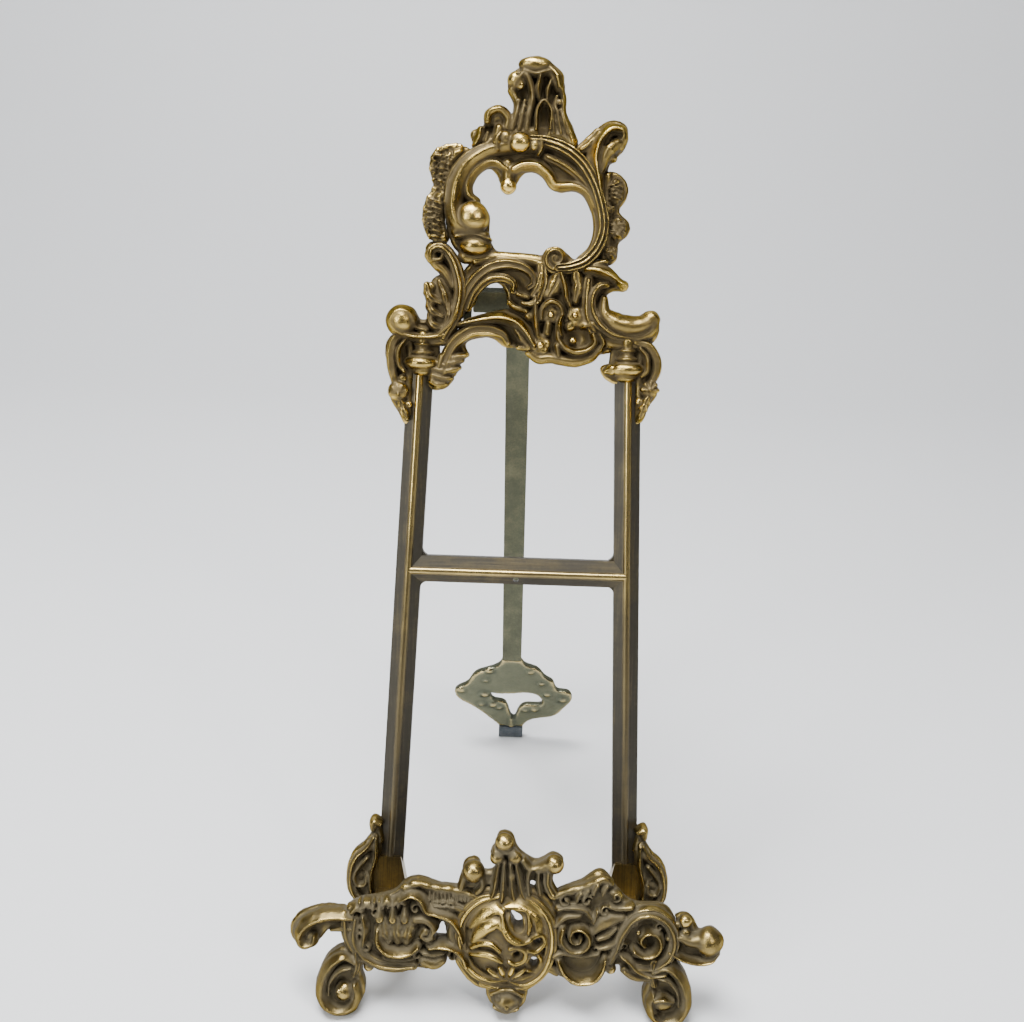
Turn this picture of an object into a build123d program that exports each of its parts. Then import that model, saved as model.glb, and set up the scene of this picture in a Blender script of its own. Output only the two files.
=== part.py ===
"""Ornate cast-brass stand for a photo album: a leaning front frame, a ledge and a folding back leg.

Millimetres. X is to the right, Y to the back and Z up. The origin is on the table, at the middle of
the space that the open stand covers.

The front frame and the ledge are thin castings that lean back together. Their outlines are drawn in
the leaning plane: x to the right, s up the slope from the table, and depth square to the slope,
counted backwards from the face of the ledge.
"""

import os
from math import atan2, cos, degrees, hypot, radians, sin

from build123d import *

# ---- driving dimensions ----
LEAN = radians(15.5)  # the front frame and the ledge lean back from upright
CENTRE_Y = 96.2  # from the front feet to the middle of the covered space

FRONT = 30.0  # depth of the front frame's face behind the ledge's face
CREST_BACK = 34.0  # depth of the back of the crest
BAR_BACK = 35.0  # depth of the back of the stiles and crossbar
CREST_FACE = 26.5  # depth of most of the crest's ornament

BAR_WIDTH = 10.0
STILE_TOP = (40.2, 246.5)  # x and s where each stile meets its collar
STILE_FOOT = (47.75, 46.0)  # x and s where each stile stands in its socket
CROSSBAR_LOW = 163.5
CROSSBAR_HIGH = 174.0
CORNER_RADIUS = 3.0

LEDGE_BACK = 4.5  # depth of the back of the ledge's scrollwork
ARM_X = 48.0
ARM_WIDTH = 9.0
ARM_LOW = 30.0
ARM_HIGH = 37.0

HINGE_S = 274.5  # the hinge pin, up the slope
HINGE_DEPTH = 38.5
HINGE_X = -3.0
PIN_RADIUS = 1.2
PIN_CLEARANCE = 0.06
LUG_THICKNESS = 3.2
HEAD_WIDTH = 35.6  # the crosshead fills the space between the lugs, less a little play
LUG_GAP = HEAD_WIDTH + 0.6

TOE_Y = 193.7  # where the toe touches the table, behind the front feet
TOE_RADIUS = 2.4
TOE_WIDTH = 12.5
LEG_WIDTH = 9.4
LEG_THICKNESS = 3.6

# ---- the leaning plane ----
SLOPE_UP = Vector(0, sin(LEAN), cos(LEAN))
FACE_NORMAL = Vector(0, -cos(LEAN), sin(LEAN))


def on_slope(x, s, depth):
    """The point at x, s up the slope, and this depth behind the ledge's face."""
    start = Vector(x, -CENTRE_Y, 0)
    return start + SLOPE_UP * s - FACE_NORMAL * depth


def slope_plane(depth):
    """The leaning plane at this depth, with its normal to the front."""
    return Plane(origin=on_slope(0, 0, depth), x_dir=(1, 0, 0), z_dir=FACE_NORMAL)


# ---- the back leg's plane ----
PIN_POINT = on_slope(HINGE_X, HINGE_S, HINGE_DEPTH)
TOE_POINT = Vector(0, TOE_Y - CENTRE_Y, TOE_RADIUS)
LEG_ANGLE = atan2(TOE_POINT.Y - PIN_POINT.Y, PIN_POINT.Z - TOE_POINT.Z)
LEG_LENGTH = hypot(TOE_POINT.Y - PIN_POINT.Y, PIN_POINT.Z - TOE_POINT.Z)
LEG_NORMAL = Vector(0, -cos(LEG_ANGLE), -sin(LEG_ANGLE))


def leg_plane(depth):
    """The leg's plane, x to the right and y up the leg from the toe's centre; depth is backwards."""
    origin = TOE_POINT - LEG_NORMAL * depth
    return Plane(origin=origin, x_dir=(1, 0, 0), z_dir=LEG_NORMAL)


# ---- shared shapes ----
def ornament(outline, face, back, plane=slope_plane, mode=Mode.ADD):
    """A smooth closed outline, as thick as from its face's depth to its back's."""
    with BuildSketch(plane(back)) as sketch:
        with BuildLine():
            Spline(*outline, periodic=True)
        make_face()
    extrude(sketch.sketch, amount=back - face, mode=mode)


def polygon(corners, face, back, plane=slope_plane, mode=Mode.ADD, rounding=0.0):
    """A straight-sided outline with rounded corners, of the same kind."""
    with BuildSketch(plane(back)) as sketch:
        with BuildLine():
            Polyline(*corners, close=True)
        make_face()
        if rounding:
            fillet(sketch.vertices(), radius=rounding)
    extrude(sketch.sketch, amount=back - face, mode=mode)


def bead(x, s, depth, radius, back=CREST_BACK):
    """A ball that swells from an ornament and stops flush with its back."""
    with BuildPart(mode=Mode.PRIVATE) as ball:
        with Locations(on_slope(x, s, depth)):
            Sphere(radius)
        split(bisect_by=slope_plane(back), keep=Keep.TOP)
    add(ball.part)


def cut_away(*others):
    """Leave room for pieces that are already made, so that this one meets them face to face."""
    for other in others:
        add(other.part, mode=Mode.SUBTRACT)


def bar_profile(width, bead_offset=0.0):
    """Section of a stile or the crossbar: two facets that rise to a round bead; y is backwards."""
    half = width / 2
    bead_half = 1.4
    with BuildLine() as outline:
        Polyline(
            (bead_offset - bead_half, 0.2),
            (-half, 1.8),
            (-half, BAR_BACK - FRONT),
            (half, BAR_BACK - FRONT),
            (half, 1.8),
            (bead_offset + bead_half, 0.2),
        )
        ThreePointArc((bead_offset + bead_half, 0.2), (bead_offset, -0.9), (bead_offset - bead_half, 0.2))
    make_face(outline.edges())


def stile_x(s):
    """Half the distance between the stiles' middles, s up the slope."""
    run = (STILE_FOOT[0] - STILE_TOP[0]) / (STILE_TOP[1] - STILE_FOOT[1])
    return STILE_TOP[0] + (STILE_TOP[1] - s) * run


def finish(name, part, color):
    """Name the piece and write it."""
    part.part.label = name
    part.part.color = Color(color)
    export_step(part.part, f"parts/{name}.step")


os.makedirs("parts", exist_ok=True)

# ---- stiles ----
stiles = {}
for name, side in (("left_stile", -1), ("right_stile", 1)):
    foot = on_slope(side * STILE_FOOT[0], STILE_FOOT[1], FRONT)
    top = on_slope(side * STILE_TOP[0], STILE_TOP[1], FRONT)
    along = (top - foot).normalized()
    with BuildPart() as stile:
        with BuildSketch(Plane(origin=foot, x_dir=along.cross(FACE_NORMAL), z_dir=along)):
            bar_profile(BAR_WIDTH)
        extrude(amount=(top - foot).length)
    stiles[side] = stile
    finish(name, stile, "goldenrod")

# ---- crossbar, with rounded inner corners and a small drilled hole ----
with BuildPart() as crossbar:
    middle = (CROSSBAR_LOW + CROSSBAR_HIGH) / 2
    reach = stile_x(middle)
    start = on_slope(reach, middle, FRONT)
    with BuildSketch(Plane(origin=start, x_dir=SLOPE_UP, z_dir=(-1, 0, 0))):
        bar_profile(CROSSBAR_HIGH - CROSSBAR_LOW, bead_offset=-0.7)
    extrude(amount=2 * reach)
    web_face = FRONT + 2.2
    web_low = CROSSBAR_LOW - CORNER_RADIUS
    web_high = CROSSBAR_HIGH + CORNER_RADIUS
    for side in (-1, 1):
        polygon(
            [(side * reach, web_low), (side * reach, web_high), (side * 36, web_high), (side * 36, web_low)],
            web_face,
            BAR_BACK,
        )
    for low, high in ((100, CROSSBAR_LOW), (CROSSBAR_HIGH, 240)):
        inner_low = stile_x(low) - BAR_WIDTH / 2
        inner_high = stile_x(high) - BAR_WIDTH / 2
        polygon(
            [(-inner_low, low), (inner_low, low), (inner_high, high), (-inner_high, high)],
            FRONT - 2,
            BAR_BACK,
            mode=Mode.SUBTRACT,
            rounding=CORNER_RADIUS,
        )
    with Locations(slope_plane(BAR_BACK)):
        with Locations((-0.5, 165.6)):
            Hole(radius=1.1)
    cut_away(*stiles.values())
finish("crossbar", crossbar, "darkgoldenrod")

# ---- collars on the stile tops, turned about the stile's line ----
collars = {}
for name, side in (("left_collar", -1), ("right_collar", 1)):
    axis_plane = Plane(
        origin=on_slope(side * STILE_TOP[0], STILE_TOP[1], FRONT + 1.5),
        x_dir=(1, 0, 0),
        z_dir=FACE_NORMAL,
    )
    with BuildPart() as collar:
        with BuildSketch(axis_plane):
            with BuildLine():
                Polyline((0, 13.0), (0, 0), (5.0, 0))
                ThreePointArc((5.0, 0), (6.6, 2.3), (5.0, 4.6))
                ThreePointArc((5.0, 4.6), (5.6, 5.6), (5.0, 6.6))
                ThreePointArc((5.0, 6.6), (4.0, 9.5), (5.2, 13.0))
                Line((5.2, 13.0), (0, 13.0))
            make_face()
        revolve(axis=Axis(axis_plane.origin, axis_plane.y_dir))
        split(bisect_by=slope_plane(BAR_BACK), keep=Keep.TOP)
    collars[side] = collar
    finish(name, collar, "gold")

# ---- ring at the top of the frame ----
with BuildPart() as crest_ring:
    ornament(
        [
            (-4, 336), (-13, 335), (-22, 330), (-28.5, 323), (-32, 314), (-32, 304), (-30, 296),
            (-25, 290.5), (-14, 290), (0, 290), (9, 286), (18, 285.5), (25, 289), (29.5, 296),
            (31, 306), (29, 317), (25, 325), (17, 332), (7, 336),
        ],
        CREST_FACE,
        CREST_BACK,
    )
    ornament(
        [
            (-18, 323), (-14, 322.5), (-11.8, 318.5), (-8.5, 314), (-5.2, 318), (-2, 322.3), (4, 321.5),
            (7.5, 317), (11, 315.5), (18, 316), (22.5, 312), (25, 304), (24, 296), (19.5, 290),
            (15.5, 292.5), (10.5, 295), (5.5, 291.8), (-4, 292.2), (-12, 293), (-14.5, 297), (-15.2, 304),
            (-17.5, 309.5), (-21, 312.5), (-22, 317.5),
        ],
        CREST_FACE - 6,
        CREST_BACK,
        mode=Mode.SUBTRACT,
    )
    bead(-21.5, 304.5, 28.5, 6.5)
finish("crest_ring", crest_ring, "goldenrod")

# ---- finial, with its ball and bud ----
with BuildPart() as crest_finial:
    ornament(
        [
            (-22.5, 333), (-22.5, 337.5), (-18.5, 339.5), (-17, 344.5), (-12.5, 345.5), (-8.5, 341.5),
            (-6.8, 346), (-9.3, 352), (-9.2, 358), (-5.5, 361), (-2, 364.5), (3, 365), (7, 361.5),
            (10.8, 357.5), (12, 350), (12.8, 342.5), (16.5, 336), (14, 332), (0, 333), (-14, 332),
        ],
        CREST_FACE - 1,
        CREST_BACK,
    )
    cut_away(crest_ring)
finish("crest_finial", crest_finial, "khaki")

# ---- curled leaf at the ring's upper right ----
with BuildPart() as crest_leaf:
    ornament(
        [
            (17, 331.5), (22, 336.5), (26, 341), (31, 342.8), (35.6, 340.8), (36.2, 336), (34, 330.5),
            (30.5, 327), (29, 322), (27.5, 315), (22, 322),
        ],
        CREST_FACE - 1.5,
        CREST_BACK,
    )
    cut_away(crest_ring, crest_finial)
finish("crest_leaf", crest_leaf, "khaki")

# ---- rocaille outside the ring ----
with BuildPart() as left_rocaille:
    ornament(
        [
            (-24, 331), (-32, 331.5), (-37, 329), (-38.6, 322.5), (-37, 316), (-40.2, 309.5),
            (-40.6, 302), (-37.5, 296.3), (-31, 296), (-27, 300), (-27, 320),
        ],
        CREST_FACE + 1.5,
        CREST_BACK,
    )
    cut_away(crest_ring, crest_finial)
finish("left_rocaille", left_rocaille, "darkgoldenrod")

with BuildPart() as right_rocaille:
    ornament(
        [
            (27, 323), (32.5, 323.6), (36.4, 320.5), (36, 312.5), (34.2, 309.4), (37.8, 305.5),
            (37.6, 300), (34.4, 296.8), (34.2, 291.5), (30.5, 288.6), (26, 291), (28, 305),
        ],
        CREST_FACE + 1.5,
        CREST_BACK,
    )
    cut_away(crest_ring, crest_leaf)
finish("right_rocaille", right_rocaille, "darkgoldenrod")

# ---- shoulder scrolls, from the ring down to the collars ----
with BuildPart() as left_shoulder_scroll:
    ornament(
        [
            (-39.5, 291), (-38, 295.3), (-33, 296), (-28.5, 292.5), (-25, 285), (-24, 276), (-24.5, 268),
            (-27.5, 261), (-33, 258), (-42, 257.5), (-50.5, 259), (-53, 265), (-50, 270.2), (-45, 270.6),
            (-41, 266.5), (-36.8, 267), (-36, 273), (-38, 278.5), (-34, 280.2), (-30.2, 281.5),
            (-33, 285.5), (-37.5, 287.5),
        ],
        CREST_FACE,
        CREST_BACK,
    )
    bead(-47, 265.5, 29.0, 5.3)
    cut_away(crest_ring, left_rocaille, collars[-1])
finish("left_shoulder_scroll", left_shoulder_scroll, "khaki")

with BuildPart() as right_shoulder_scroll:
    ornament(
        [
            (24, 290), (31.5, 288), (35, 284.5), (38.8, 282.2), (38, 279.3), (33.5, 279), (30.4, 276.5),
            (31, 272.5), (36, 270.3), (43, 270), (47.5, 272.2), (50.8, 269), (51.3, 263), (47.5, 258.5),
            (39, 258.5), (31.5, 258.5), (27, 263), (24.5, 272), (23, 281),
        ],
        CREST_FACE - 0.5,
        CREST_BACK,
    )
    cut_away(crest_ring, right_rocaille, collars[1])
finish("right_shoulder_scroll", right_shoulder_scroll, "khaki")

# ---- leaf arches under the ring; the gap between them is open ----
with BuildPart() as upper_arch:
    ornament(
        [
            (-25, 270), (-26, 278), (-24, 286), (-17, 291), (-5, 291.5), (5, 289), (7, 281), (5, 272),
            (-2, 270), (-7, 272.5), (-8.2, 277), (-12, 281), (-16.5, 280), (-18.8, 275), (-21, 271),
        ],
        CREST_FACE + 0.5,
        CREST_BACK,
    )
    cut_away(crest_ring, left_shoulder_scroll)
finish("upper_arch", upper_arch, "goldenrod")

with BuildPart() as lower_arch:
    ornament(
        [
            (-31.5, 243), (-30.5, 252), (-29, 259), (-26, 265), (-20, 268), (-12, 270.3), (-3, 271),
            (3, 266), (5, 259), (3, 254.5), (-3, 256), (-8, 256.5), (-12, 259.2), (-18, 259.5),
            (-23, 256.5), (-21.8, 253.6), (-25.5, 250), (-26.5, 245),
        ],
        CREST_FACE,
        CREST_BACK,
    )
    cut_away(upper_arch, left_shoulder_scroll)
finish("lower_arch", lower_arch, "goldenrod")

# ---- flower cluster ----
with BuildPart() as flower_cluster:
    ornament(
        [
            (4, 252.5), (3, 262), (2, 272), (6, 280), (7, 286), (15, 287.5), (23, 286.5), (26, 280),
            (26, 270), (30, 262), (33.5, 256), (28, 254.5), (22, 252.3), (14, 252.4), (9, 250.8),
        ],
        CREST_FACE - 2,
        CREST_BACK,
    )
    cut_away(crest_ring, upper_arch, lower_arch, right_shoulder_scroll)
finish("flower_cluster", flower_cluster, "gold")

# ---- leaf drops outside the stile tops ----
with BuildPart() as left_ear_drop:
    ornament(
        [
            (-43.5, 258), (-48, 261.5), (-52.5, 259), (-53.3, 249), (-51, 241), (-51.6, 235.5),
            (-48.5, 230), (-45, 225), (-42, 230), (-43, 240), (-42.6, 250),
        ],
        CREST_FACE + 0.5,
        CREST_BACK,
    )
    cut_away(stiles[-1], collars[-1], left_shoulder_scroll)
finish("left_ear_drop", left_ear_drop, "darkgoldenrod")

with BuildPart() as right_ear_drop:
    ornament(
        [
            (42, 259.5), (47, 260.5), (51.5, 256), (52.3, 250), (51.2, 245.5), (52, 240.5), (48.8, 235),
            (46.8, 229.5), (43.5, 227), (43.5, 238), (44, 250),
        ],
        CREST_FACE + 0.5,
        CREST_BACK,
    )
    cut_away(stiles[1], collars[1], right_shoulder_scroll)
finish("right_ear_drop", right_ear_drop, "darkgoldenrod")

# ---- leaf tips inside the stile tops ----
with BuildPart() as left_inner_leaf:
    ornament(
        [(-37, 251), (-30, 250.5), (-26.5, 246), (-28, 242), (-33, 239), (-37, 240)],
        CREST_FACE + 1,
        CREST_BACK,
    )
    cut_away(stiles[-1], collars[-1], lower_arch, left_shoulder_scroll)
finish("left_inner_leaf", left_inner_leaf, "khaki")

with BuildPart() as right_inner_leaf:
    ornament(
        [(38, 256), (33, 251.5), (29.4, 250), (30.2, 247), (34, 244), (38, 244)],
        CREST_FACE + 1.5,
        CREST_BACK,
    )
    cut_away(stiles[1], collars[1], right_shoulder_scroll)
finish("right_inner_leaf", right_inner_leaf, "khaki")

# ---- sockets at the stile feet, drilled for the ledge's screws ----
SCREW_S = (ARM_LOW + ARM_HIGH) / 2
SCREW_RADIUS = 1.5
SOCKET_FACE = FRONT - 1
sockets = {}
for name, side in (("left_base_socket", -1), ("right_base_socket", 1)):
    with BuildPart() as socket:
        polygon(
            [
                (side * 41, 28), (side * 41, 38), (side * 43.4, 50), (side * 52, 50),
                (side * 54.5, 42), (side * 55.5, 28),
            ],
            SOCKET_FACE,
            BAR_BACK + 0.4,
            rounding=1.0,
        )
        with Locations(slope_plane(BAR_BACK + 0.4)):
            with Locations((side * ARM_X, SCREW_S)):
                Hole(radius=SCREW_RADIUS)
        cut_away(stiles[side])
    sockets[side] = socket
    finish(name, socket, "darkgoldenrod")

# ---- scrolled ears outside the stile feet ----
ear_outline = [
    (50.5, 55), (52.5, 64), (54.5, 66.2), (56.6, 64), (55.6, 60), (57.8, 54.5), (62.5, 51),
    (65.3, 44), (65.3, 36), (61.5, 30), (55, 29), (54, 38), (52, 48),
]
for name, side in (("left_base_ear", -1), ("right_base_ear", 1)):
    with BuildPart() as ear:
        ornament([(side * x, s) for x, s in ear_outline], FRONT - 1, BAR_BACK)
        with Locations(slope_plane(BAR_BACK)):
            with Locations((side * 60.2, 41)):
                Hole(radius=1.8)
        cut_away(stiles[side], sockets[side])
    finish(name, ear, "goldenrod")

# ---- ledge: middle boss ----
with BuildPart() as ledge_boss:
    ornament(
        [
            (0, 52.5), (11, 51.5), (18, 46), (20, 36), (19.5, 25), (16, 16.5), (10, 11.5), (0, 10.2),
            (-10, 11), (-16, 16), (-20, 24), (-21, 36), (-18, 46), (-10, 51.5),
        ],
        -1.5,
        LEDGE_BACK,
    )
    with BuildPart(mode=Mode.PRIVATE) as dome:
        with Locations(on_slope(0.5, 32, 14)):
            Sphere(22.5)
        split(bisect_by=slope_plane(-1.5), keep=Keep.TOP)
    add(dome.part)
    for x, s, radius in ((4, 41, 2.0), (12, 32.5, 1.2), (4.5, 28, 1.0), (11, 23.5, 1.4)):
        with Locations(slope_plane(LEDGE_BACK)):
            with Locations((x, s)):
                Hole(radius=radius)
finish("ledge_boss", ledge_boss, "gold")

# ---- ledge: side panels ----
with BuildPart() as ledge_left_panel:
    ornament(
        [
            (-10, 47), (-19, 51.5), (-27, 52.3), (-34, 54.5), (-43, 50), (-52, 46), (-60, 43),
            (-63.5, 36), (-62, 28), (-58, 22), (-52, 17.5), (-44, 18.3), (-34, 17.8), (-26, 18.4),
            (-21.5, 23.5), (-10, 24),
        ],
        -2,
        LEDGE_BACK,
    )
    polygon([(-27.5, 31), (-24.5, 37), (-22.3, 31)], -4, LEDGE_BACK, mode=Mode.SUBTRACT)
    cut_away(ledge_boss)
finish("ledge_left_panel", ledge_left_panel, "goldenrod")

with BuildPart() as ledge_right_panel:
    ornament(
        [
            (16, 42), (20.5, 51.5), (28, 54.8), (36, 59.5), (41, 54), (50, 47), (61, 46), (66, 38),
            (66.5, 28), (64, 21), (57, 17), (49, 18), (43.5, 21.5), (38, 17.5), (30, 14.5), (20, 17),
            (15.5, 27),
        ],
        -2,
        LEDGE_BACK,
    )
    cut_away(ledge_boss)
finish("ledge_right_panel", ledge_right_panel, "goldenrod")

# ---- ledge: cresting over the boss ----
with BuildPart() as ledge_finial:
    ornament(
        [
            (-19, 50), (-17.5, 57), (-16, 62), (-11.5, 62.5), (-8.8, 58), (-5, 59.5), (-6.8, 65),
            (-4.8, 69.5), (-3.8, 73.2), (0.8, 73.2), (3.2, 68.5), (7, 64.5), (11, 62.8), (17.5, 65.8),
            (21.2, 63), (18.5, 59.5), (17.8, 54), (20, 49), (0, 46),
        ],
        -1.5,
        LEDGE_BACK - 0.5,
    )
    with Locations(slope_plane(LEDGE_BACK - 0.5)):
        with Locations((9.6, 53.4)):
            Hole(radius=1.1)
    cut_away(ledge_boss, ledge_left_panel, ledge_right_panel)
finish("ledge_finial", ledge_finial, "khaki")

# ---- ledge: curled ends ----
with BuildPart() as left_tip_scroll:
    ornament(
        [
            (-56, 41), (-65, 42.2), (-74, 41.4), (-81.4, 36.5), (-83, 30), (-79, 25.6), (-73.2, 26.3),
            (-69.8, 30), (-66.5, 33), (-59, 32), (-55, 36),
        ],
        -1.5,
        LEDGE_BACK - 1,
    )
    cut_away(ledge_left_panel)
finish("left_tip_scroll", left_tip_scroll, "khaki")

with BuildPart() as right_tip_scroll:
    ornament(
        [
            (59, 40), (64.5, 42.4), (69, 43.8), (72.4, 40.5), (75, 37), (79, 38.2), (82.4, 34.5),
            (82.4, 28), (77, 23.8), (70, 23.8), (60, 26), (57, 33),
        ],
        -1.5,
        LEDGE_BACK - 1,
    )
    cut_away(ledge_right_panel)
finish("right_tip_scroll", right_tip_scroll, "khaki")

# ---- ledge: feet, ground flat on the table ----
foot_outline = [
    (55, 24), (61, 26.5), (67, 23.5), (70.8, 17.5), (72.4, 10), (70.5, 2.5), (64.5, -1), (58.5, 0.2),
    (54.6, 5), (53.6, 11.5), (55, 17),
]
foot_panels = {-1: ledge_left_panel, 1: ledge_right_panel}
foot_tips = {-1: left_tip_scroll, 1: right_tip_scroll}
for name, side in (("left_foot", -1), ("right_foot", 1)):
    with BuildPart() as foot_scroll:
        ornament([(side * x, s) for x, s in foot_outline], -3.5, LEDGE_BACK)
        cut_away(foot_panels[side], foot_tips[side])
        split(bisect_by=Plane.XY, keep=Keep.TOP)
    finish(name, foot_scroll, "goldenrod")

# ---- ledge: small drop under the boss ----
with BuildPart() as ledge_pendant:
    ornament(
        [(-7, 12), (-5, 5), (-1, 2.2), (5, 2.2), (8.5, 6), (9, 12), (1, 15)],
        -2.5,
        LEDGE_BACK - 1,
    )
    cut_away(ledge_boss)
finish("ledge_pendant", ledge_pendant, "khaki")

# ---- ledge: arms that reach back to the stiles; the album rests on them ----
arms = {}
for name, side in (("left_arm", -1), ("right_arm", 1)):
    low_x = side * (ARM_X - ARM_WIDTH / 2)
    high_x = side * (ARM_X + ARM_WIDTH / 2)
    with BuildPart() as arm:
        polygon(
            [(low_x, ARM_LOW), (high_x, ARM_LOW), (high_x, ARM_HIGH), (low_x, ARM_HIGH)],
            LEDGE_BACK,
            SOCKET_FACE,
        )
        with Locations(slope_plane(SOCKET_FACE)):
            with Locations((side * ARM_X, SCREW_S)):
                with Locations(Rotation(180, 0, 0)):
                    Hole(radius=SCREW_RADIUS, depth=10)
    arms[side] = arm
    finish(name, arm, "darkgoldenrod")

# ---- screws that hold the ledge to the frame ----
with BuildPart() as ledge_screws:
    for side in (-1, 1):
        head_seat = Plane(
            origin=on_slope(side * ARM_X, SCREW_S, BAR_BACK + 0.4),
            x_dir=(1, 0, 0),
            z_dir=FACE_NORMAL,
        )
        with BuildSketch(head_seat):
            Circle(SCREW_RADIUS)
        extrude(amount=14)
        with BuildSketch(head_seat):
            Circle(3.2)
        extrude(amount=-1.0)
        with BuildSketch(head_seat.offset(-1.0)):
            Circle(3.2)
        extrude(amount=-1.2, taper=30)
        with BuildSketch(head_seat.offset(-2.2)):
            Rectangle(6.4, 0.8)
        extrude(amount=0.9, mode=Mode.SUBTRACT)
finish("ledge_screws", ledge_screws, "silver")

# ---- hinge bracket: two lugs on the crest's back ----
LUG_FOOT = 13.0
lug_inner = LUG_GAP / 2
with BuildPart() as hinge_bracket:
    for side in (-1, 1):
        edge = HINGE_X + side * lug_inner
        near_face = Plane(origin=on_slope(edge, 0, 0), x_dir=SLOPE_UP, z_dir=(side, 0, 0))
        # in this plane x is s; y is depth, with its sign set by the side
        turn = near_face.y_dir.dot(-FACE_NORMAL)
        pin_y = turn * HINGE_DEPTH
        root_y = turn * CREST_BACK
        with BuildSketch(near_face):
            with BuildLine():
                Polyline(
                    (HINGE_S - 3.4, pin_y),
                    (HINGE_S - LUG_FOOT / 2 - 1.5, root_y),
                    (HINGE_S + LUG_FOOT / 2, root_y),
                    (HINGE_S + 3.4, pin_y),
                )
                ThreePointArc(
                    (HINGE_S + 3.4, pin_y),
                    (HINGE_S, pin_y + turn * 3.4),
                    (HINGE_S - 3.4, pin_y),
                )
            make_face()
            with Locations((HINGE_S, pin_y)):
                Circle(PIN_RADIUS, mode=Mode.SUBTRACT)
        extrude(amount=LUG_THICKNESS)
finish("hinge_bracket", hinge_bracket, "darkkhaki")

# ---- hinge pin, riveted over at both ends ----
pin_half = LUG_GAP / 2 + LUG_THICKNESS
with BuildPart() as hinge_pin:
    with BuildSketch(Plane(origin=PIN_POINT - Vector(pin_half, 0, 0), z_dir=(1, 0, 0))):
        Circle(PIN_RADIUS)
    extrude(amount=2 * pin_half)
    for side in (-1, 1):
        head = Plane(origin=PIN_POINT + Vector(side * pin_half, 0, 0), z_dir=(side, 0, 0))
        with BuildSketch(head):
            Circle(2.1)
        extrude(amount=1.1, taper=25)
finish("hinge_pin", hinge_pin, "silver")

# ---- back leg: crosshead ----
HEAD_RISE = 4.6  # above the pin; its upper front edge stops against the crest's back
HEAD_DROP = 4.6
half_thick = LEG_THICKNESS / 2
with BuildPart() as leg_crosshead:
    head_low = LEG_LENGTH - HEAD_DROP
    head_high = LEG_LENGTH + HEAD_RISE
    head_left = HINGE_X - HEAD_WIDTH / 2
    head_right = HINGE_X + HEAD_WIDTH / 2
    polygon(
        [(head_left, head_low), (head_right, head_low), (head_right, head_high), (head_left, head_high)],
        -half_thick,
        half_thick,
        plane=leg_plane,
        rounding=0.8,
    )
    bore_start = Plane(origin=PIN_POINT - Vector(HEAD_WIDTH, 0, 0), z_dir=(1, 0, 0))
    with BuildSketch(bore_start):
        Circle(PIN_RADIUS + PIN_CLEARANCE)
    extrude(amount=2 * HEAD_WIDTH, mode=Mode.SUBTRACT)
finish("leg_crosshead", leg_crosshead, "olivedrab")

# ---- back leg: pierced ornament above the toe ----
FOOT_TOP = 58.6
TOE_TOP = 7.0


def leg_x(t):
    """The bar's middle, t up the leg from the toe: it slants a little."""
    return HINGE_X * t / LEG_LENGTH


with BuildPart() as leg_foot:
    neck = leg_x(FOOT_TOP)
    with BuildSketch(leg_plane(half_thick)):
        with BuildLine():
            Line((neck - LEG_WIDTH / 2, FOOT_TOP), (neck + LEG_WIDTH / 2, FOOT_TOP))
            Spline(
                (neck + LEG_WIDTH / 2, FOOT_TOP), (8, 54), (13, 51.5), (16.5, 46), (21, 42), (23, 36.5),
                (28.5, 35), (31, 30.5), (28, 24), (22, 16), (14.5, 14), (TOE_WIDTH / 2, TOE_TOP),
            )
            Line((TOE_WIDTH / 2, TOE_TOP), (-TOE_WIDTH / 2, TOE_TOP))
            Spline(
                (-TOE_WIDTH / 2, TOE_TOP), (-13, 15), (-22, 23.5), (-28.5, 29.5), (-29, 34.5),
                (-23.5, 39), (-19.5, 46.5), (-13.5, 50.5), (-8, 53.5), (neck - LEG_WIDTH / 2, FOOT_TOP),
            )
        make_face()
    extrude(amount=LEG_THICKNESS)
    ornament(
        [
            (-10.6, 33), (-3.3, 32.6), (4, 33.5), (14.5, 30.5), (15.4, 25), (7, 24), (3.3, 19),
            (1.3, 13), (-1.3, 19.5), (-5, 26.5), (-9.5, 28),
        ],
        -half_thick,
        half_thick,
        plane=leg_plane,
        mode=Mode.SUBTRACT,
    )
finish("leg_foot", leg_foot, "darkseagreen")

# ---- back leg: flat bar ----
with BuildPart() as leg_bar:
    bar_low = leg_x(FOOT_TOP)
    bar_high = leg_x(head_low)
    polygon(
        [
            (bar_low - LEG_WIDTH / 2, FOOT_TOP), (bar_low + LEG_WIDTH / 2, FOOT_TOP),
            (bar_high + LEG_WIDTH / 2, head_low), (bar_high - LEG_WIDTH / 2, head_low),
        ],
        -half_thick,
        half_thick,
        plane=leg_plane,
    )
    cut_away(leg_crosshead)
finish("leg_bar", leg_bar, "darkkhaki")

# ---- back leg: toe, rounded where it meets the table ----
with BuildPart() as leg_toe:
    toe_start = TOE_POINT - Vector(TOE_WIDTH / 2, 0, 0)
    with BuildSketch(Plane(origin=toe_start, x_dir=(0, 1, 0), z_dir=(1, 0, 0))):
        Circle(TOE_RADIUS)
    extrude(amount=TOE_WIDTH)
    polygon(
        [
            (-TOE_WIDTH / 2, 0), (TOE_WIDTH / 2, 0), (TOE_WIDTH / 2, TOE_TOP), (-TOE_WIDTH / 2, TOE_TOP),
        ],
        -TOE_RADIUS,
        TOE_RADIUS,
        plane=leg_plane,
    )
finish("leg_toe", leg_toe, "slategray")

FOLD = degrees(LEG_ANGLE + LEAN)
print(f"hinge pin at {PIN_POINT.X:.3f}, {PIN_POINT.Y:.3f}, {PIN_POINT.Z:.3f}")
print(f"the leg is {LEG_LENGTH:.2f} long and folds {FOLD:.2f} degrees to lie along the frame")
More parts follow.
